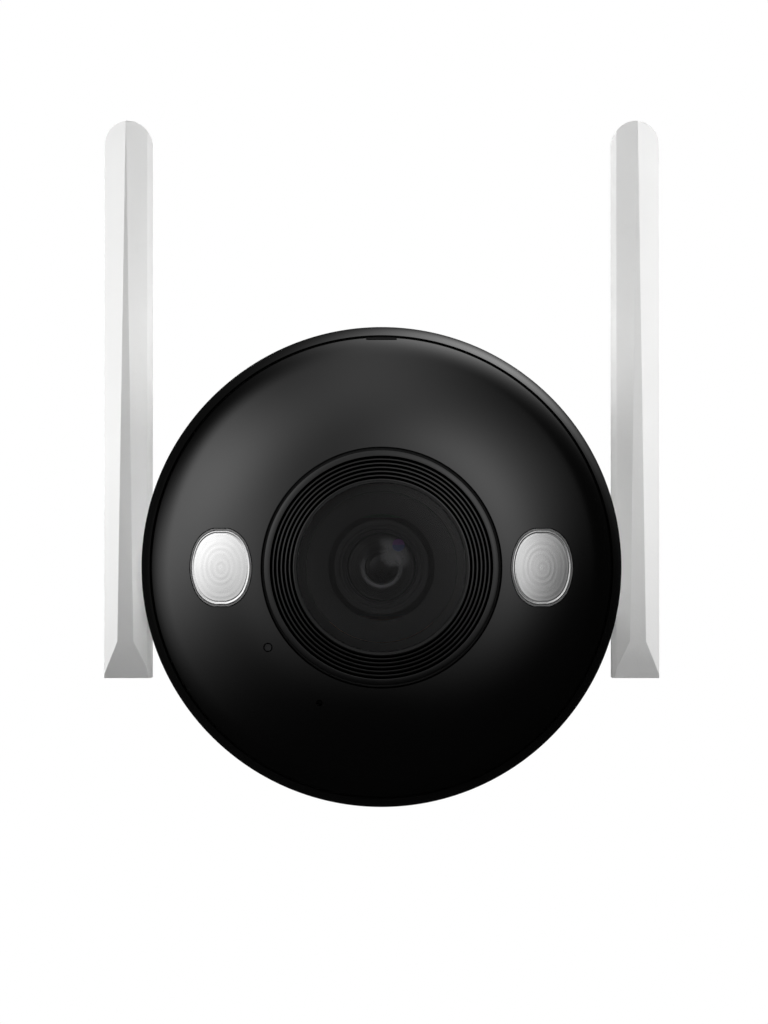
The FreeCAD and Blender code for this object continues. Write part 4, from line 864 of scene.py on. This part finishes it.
def ovalPatch(side):
    bm = bmesh.new()
    x0 = side * spots["x"]
    outline = ovalOutline(side, 0.0, 20)

    def ringAt(part, sink):
        return [bm.verts.new(onFace(x0 + (x - x0) * part, z * part, sink) * mm) for x, z in outline]

    def closeOff(ring, sink, flip):
        middle = bm.verts.new(onFace(x0, 0, sink) * mm)
        for first, second in zip(ring, ring[1:] + ring[:1]):
            bm.faces.new([second, first, middle] if flip else [first, second, middle])

    rows = []
    for k in range(int(pearl["reach"] / pearl["rowStep"])):
        away = k * pearl["rowStep"]
        rows.append(ringAt(1 - away / pearl["reach"], pearlSink(away)))
    for upper, lower in zip(rows, rows[1:]):
        bridge(bm, upper, lower)
    closeOff(rows[-1], 0.07, False)
    rear = ringAt(1.0, pearl["thick"])
    bridge(bm, rear, rows[0])
    closeOff(rear, pearl["thick"], True)
    return finishMesh("spotWindow", bm, 60)


def gasketRing(side):
    bm = bmesh.new()
    inner = ovalOutline(side, gasket["gap"], 20)
    outer = ovalOutline(side, spots["gasket"] - gasket["outerGap"], 20)
    rows = []
    for part, sink in ((0.0, gasket["deep"]), (0.0, gasket["edge"]), (0.25, gasket["proud"]),
                       (0.75, gasket["proud"]), (1.0, gasket["edge"]), (1.0, gasket["deep"])):
        rows.append([bm.verts.new(onFace(ix + (ox - ix) * part, iz + (oz - iz) * part, sink) * mm)
                     for (ix, iz), (ox, oz) in zip(inner, outer)])
    for upper, lower in zip(rows, rows[1:] + rows[:1]):
        bridge(bm, upper, lower)
    return finishMesh("spotGasket", bm, 40)


for side, word in ((-1, "left"), (1, "right")):
    makePiece("spotWindow_" + word, ovalPatch(side), "camera", ["spot_window_" + word])
makePiece("spotGasket_left", gasketRing(-1), "camera", ["spot_gaskets"])
makePiece("spotGasket_right", gasketRing(1), "camera", [], slot="clear_plastic")
print("front pieces made")


# white shells and the wall bracket, with their real rounded edges
darkTrim = {
    "light_sensor": clearPane("sensorWindow", {
        "shade": 0.01, "tone": (1, 1, 1.1), "ior": 1.5, "rough": 0.12, "body": 0.9}),
    # microphone mesh with painted shade in its grooves
    "microphone": ribsWithShadedGrooves("microphoneMesh", {
        "shade": 0.008, "rough": 0.5, "depth": 0.000004,
        "first": 0.0, "pitch": 0.0003, "land": 0.5, "ribs": 90})}
edges = {
    "barrel": 0.35, "rear_cover": 0.4, "card_cover": 0.3, "lock_collar": 0.25, "knuckle": 0.5,
    "swivel_yoke": 0.6, "base_plate": 0.6, "wall_pad": 0.25, "cable_gland": 0.3, "reset_button": 0.12,
    "tilt_bolt": 0.2, "tilt_nut": 0.2, "swivel_bolt": 0.2, "rear_screws": 0.15, "card_cover_screws": 0.12,
    "retainer_screws": 0.12, "roll_retainer": 0.2, "antenna_pins": 0.3, "antenna_shell_left": 0.3,
    "antenna_shell_right": 0.3, "chassis": 0.25, "speaker": 0.2, "lens_holder": 0.2, "board_chips": 0.08,
    "main_board": 0.08, "sensor_board": 0.08, "ir_filter_carrier": 0.08, "led_chips": 0.08, "heat_pad": 0.15,
    "card_socket": 0.1, "microphone": 0.08, "light_sensor": 0.08}
for node, width in edges.items():
    softened(node, width * mm, finish=darkTrim.get(node))
print("softened:", len(edges), "shells and fittings")


# studio

paper = {"radius": 0.34, "place": (0, 0.03, -0.2), "dark": 0.72, "light": 0.76, "fibre": 0.004}
studio = {"seen": 1.0, "away": 0.8, "fill": 0.008, "soak": 0.95, "pools": [  # off-axis, clock, tight, glow
    (52, 150, 20, 1.6), (34, 150, 30, 1.6), (16, 178, 60, 0.8), (52, 180, 22, 1.4), (75, 180, 16, 0.9),
    (34, 180, 30, 0.3), (18, 45, 45, 1.7), (18, 0, 45, 0.8), (34, 30, 30, 0.5), (34, 60, 30, 0.25),
    (36, 95, 26, 0.75), (60, 92, 18, 0.8), (95, 78, 12, 2.2), (120, 60, 18, 2.4)]}
strip = {"side": 0.1, "high": 0.2, "far": 0.28, "spread": 50}
boxes = {
    "leftStrip": {**strip, "off": 88, "clock": 172, "aim": (-0.0485, -0.093, 0.05), "glow": 2.2},
    "rightStrip": {**strip, "off": 68, "clock": 8, "aim": (0.0485, -0.093, 0.05), "glow": 1.7},
    "topSoft": {"side": 0.15, "off": 42, "clock": 90, "far": 0.2, "aim": (0, -0.093, 0.09), "glow": 1.1},
    "backFill": {"side": 0.5, "place": (0.35, 0.55, 0.45), "aim": (0, -0.08, 0), "glow": 1.7},
    "backSide": {"side": 0.45, "place": (-0.6, 0.25, 0.15), "aim": (0, -0.08, 0), "glow": 1.3}}
view = {"place": (0.00043, -1.214, 0.0094), "lens": 205.8, "film": 36.0, "near": 0.05, "far": 20}


def makeFloor():
    bm = bmesh.new()
    bmesh.ops.create_circle(bm, cap_ends=True, cap_tris=False, segments=96, radius=paper["radius"])
    floor = bpy.data.objects.new("studioFloor", finishMesh("studioFloor", bm))
    bpy.context.scene.collection.objects.link(floor)
    floor.location = paper["place"]
    finish = Finish("studioPaper", {"Roughness": 0.9})
    fibre = finish.noise(paper["fibre"], 4)
    finish.set("Base Color", finish.blend(fibre, shade(paper["dark"]), shade(paper["light"])))
    floor.data.materials.append(finish.material)
    floor.visible_glossy = False  # the gloss shows the studio's dark side, not the paper


def direction(off, clock):
    # off-axis angle from the way the camera looks out, and clock angle as seen in front of it
    off, clock = math.radians(off), math.radians(clock)
    return Vector((math.sin(off) * math.cos(clock), -math.cos(off), math.sin(off) * math.sin(clock)))


def makeStudio():
    # a white cyclorama to the eye, and soft overlapping pools of light to the object
    world = bpy.data.worlds.new("studio")
    bpy.context.scene.world = world
    world.use_nodes = True
    world.node_tree.nodes.clear()
    dome = NodeSet(world.node_tree)
    way = dome.add("ShaderNodeTexCoord", output="Generated")

    def facing(toward):
        return dome.add("ShaderNodeVectorMath", {"operation": "DOT_PRODUCT"}, {0: way, 1: toward}, "Value")

    glow = studio["fill"]
    for off, clock, tight, bright in studio["pools"]:
        glow = ((facing(direction(off, clock)) - 1) * tight).exponent() * bright + glow
    seen = dome.add("ShaderNodeLightPath", output="Is Camera Ray")
    matt = dome.add("ShaderNodeLightPath", output="Is Diffuse Ray")
    glow = glow * (1 - matt * studio["soak"])  # white shells are lit mostly by the boxes
    behind = facing((0, 1, 0)).over(0.94, 0.03)
    backdrop = behind * (studio["seen"] - studio["away"]) + studio["away"]  # brightest behind the face
    level = dome.add("ShaderNodeMix", {"data_type": "FLOAT"}, {0: seen, 2: glow, 3: backdrop})
    light = dome.add("ShaderNodeBackground", None, {0: (1, 1, 1), 1: level})
    dome.add("ShaderNodeOutputWorld", None, {0: light})


def softbox(name, look):
    lamp = bpy.data.lights.new(name, "AREA")
    lamp.shape = "RECTANGLE"
    lamp.size, lamp.size_y = look["side"], look.get("high", look["side"])
    lamp.energy = look["glow"] * math.pi * lamp.size * lamp.size_y
    if "spread" in look:
        lamp.spread = math.radians(look["spread"])
    aim = Vector(look["aim"])
    if "place" in look:
        place = Vector(look["place"])
    else:
        place = aim + direction(look["off"], look["clock"]) * look["far"]
    box = bpy.data.objects.new(name, lamp)
    bpy.context.scene.collection.objects.link(box)
    box.location = place
    box.rotation_euler = (aim - place).to_track_quat("-Z", "Y").to_euler()
    box.visible_glossy = False  # the gloss is drawn by the pools alone


def makeCamera():
    eye = bpy.data.cameras.new("studioCamera")
    eye.lens, eye.sensor_width = view["lens"], view["film"]
    eye.clip_start, eye.clip_end = view["near"], view["far"]
    stand = bpy.data.objects.new("studioCamera", eye)
    bpy.context.scene.collection.objects.link(stand)
    stand.location = view["place"]
    stand.rotation_euler = (math.radians(90), 0, 0)
    bpy.context.scene.camera = stand


makeFloor()
makeStudio()
for name, look in boxes.items():
    softbox(name, look)
makeCamera()
bpy.context.scene.view_settings.view_transform = "Standard"
bpy.context.scene.view_settings.look = "None"
print("studio ready")
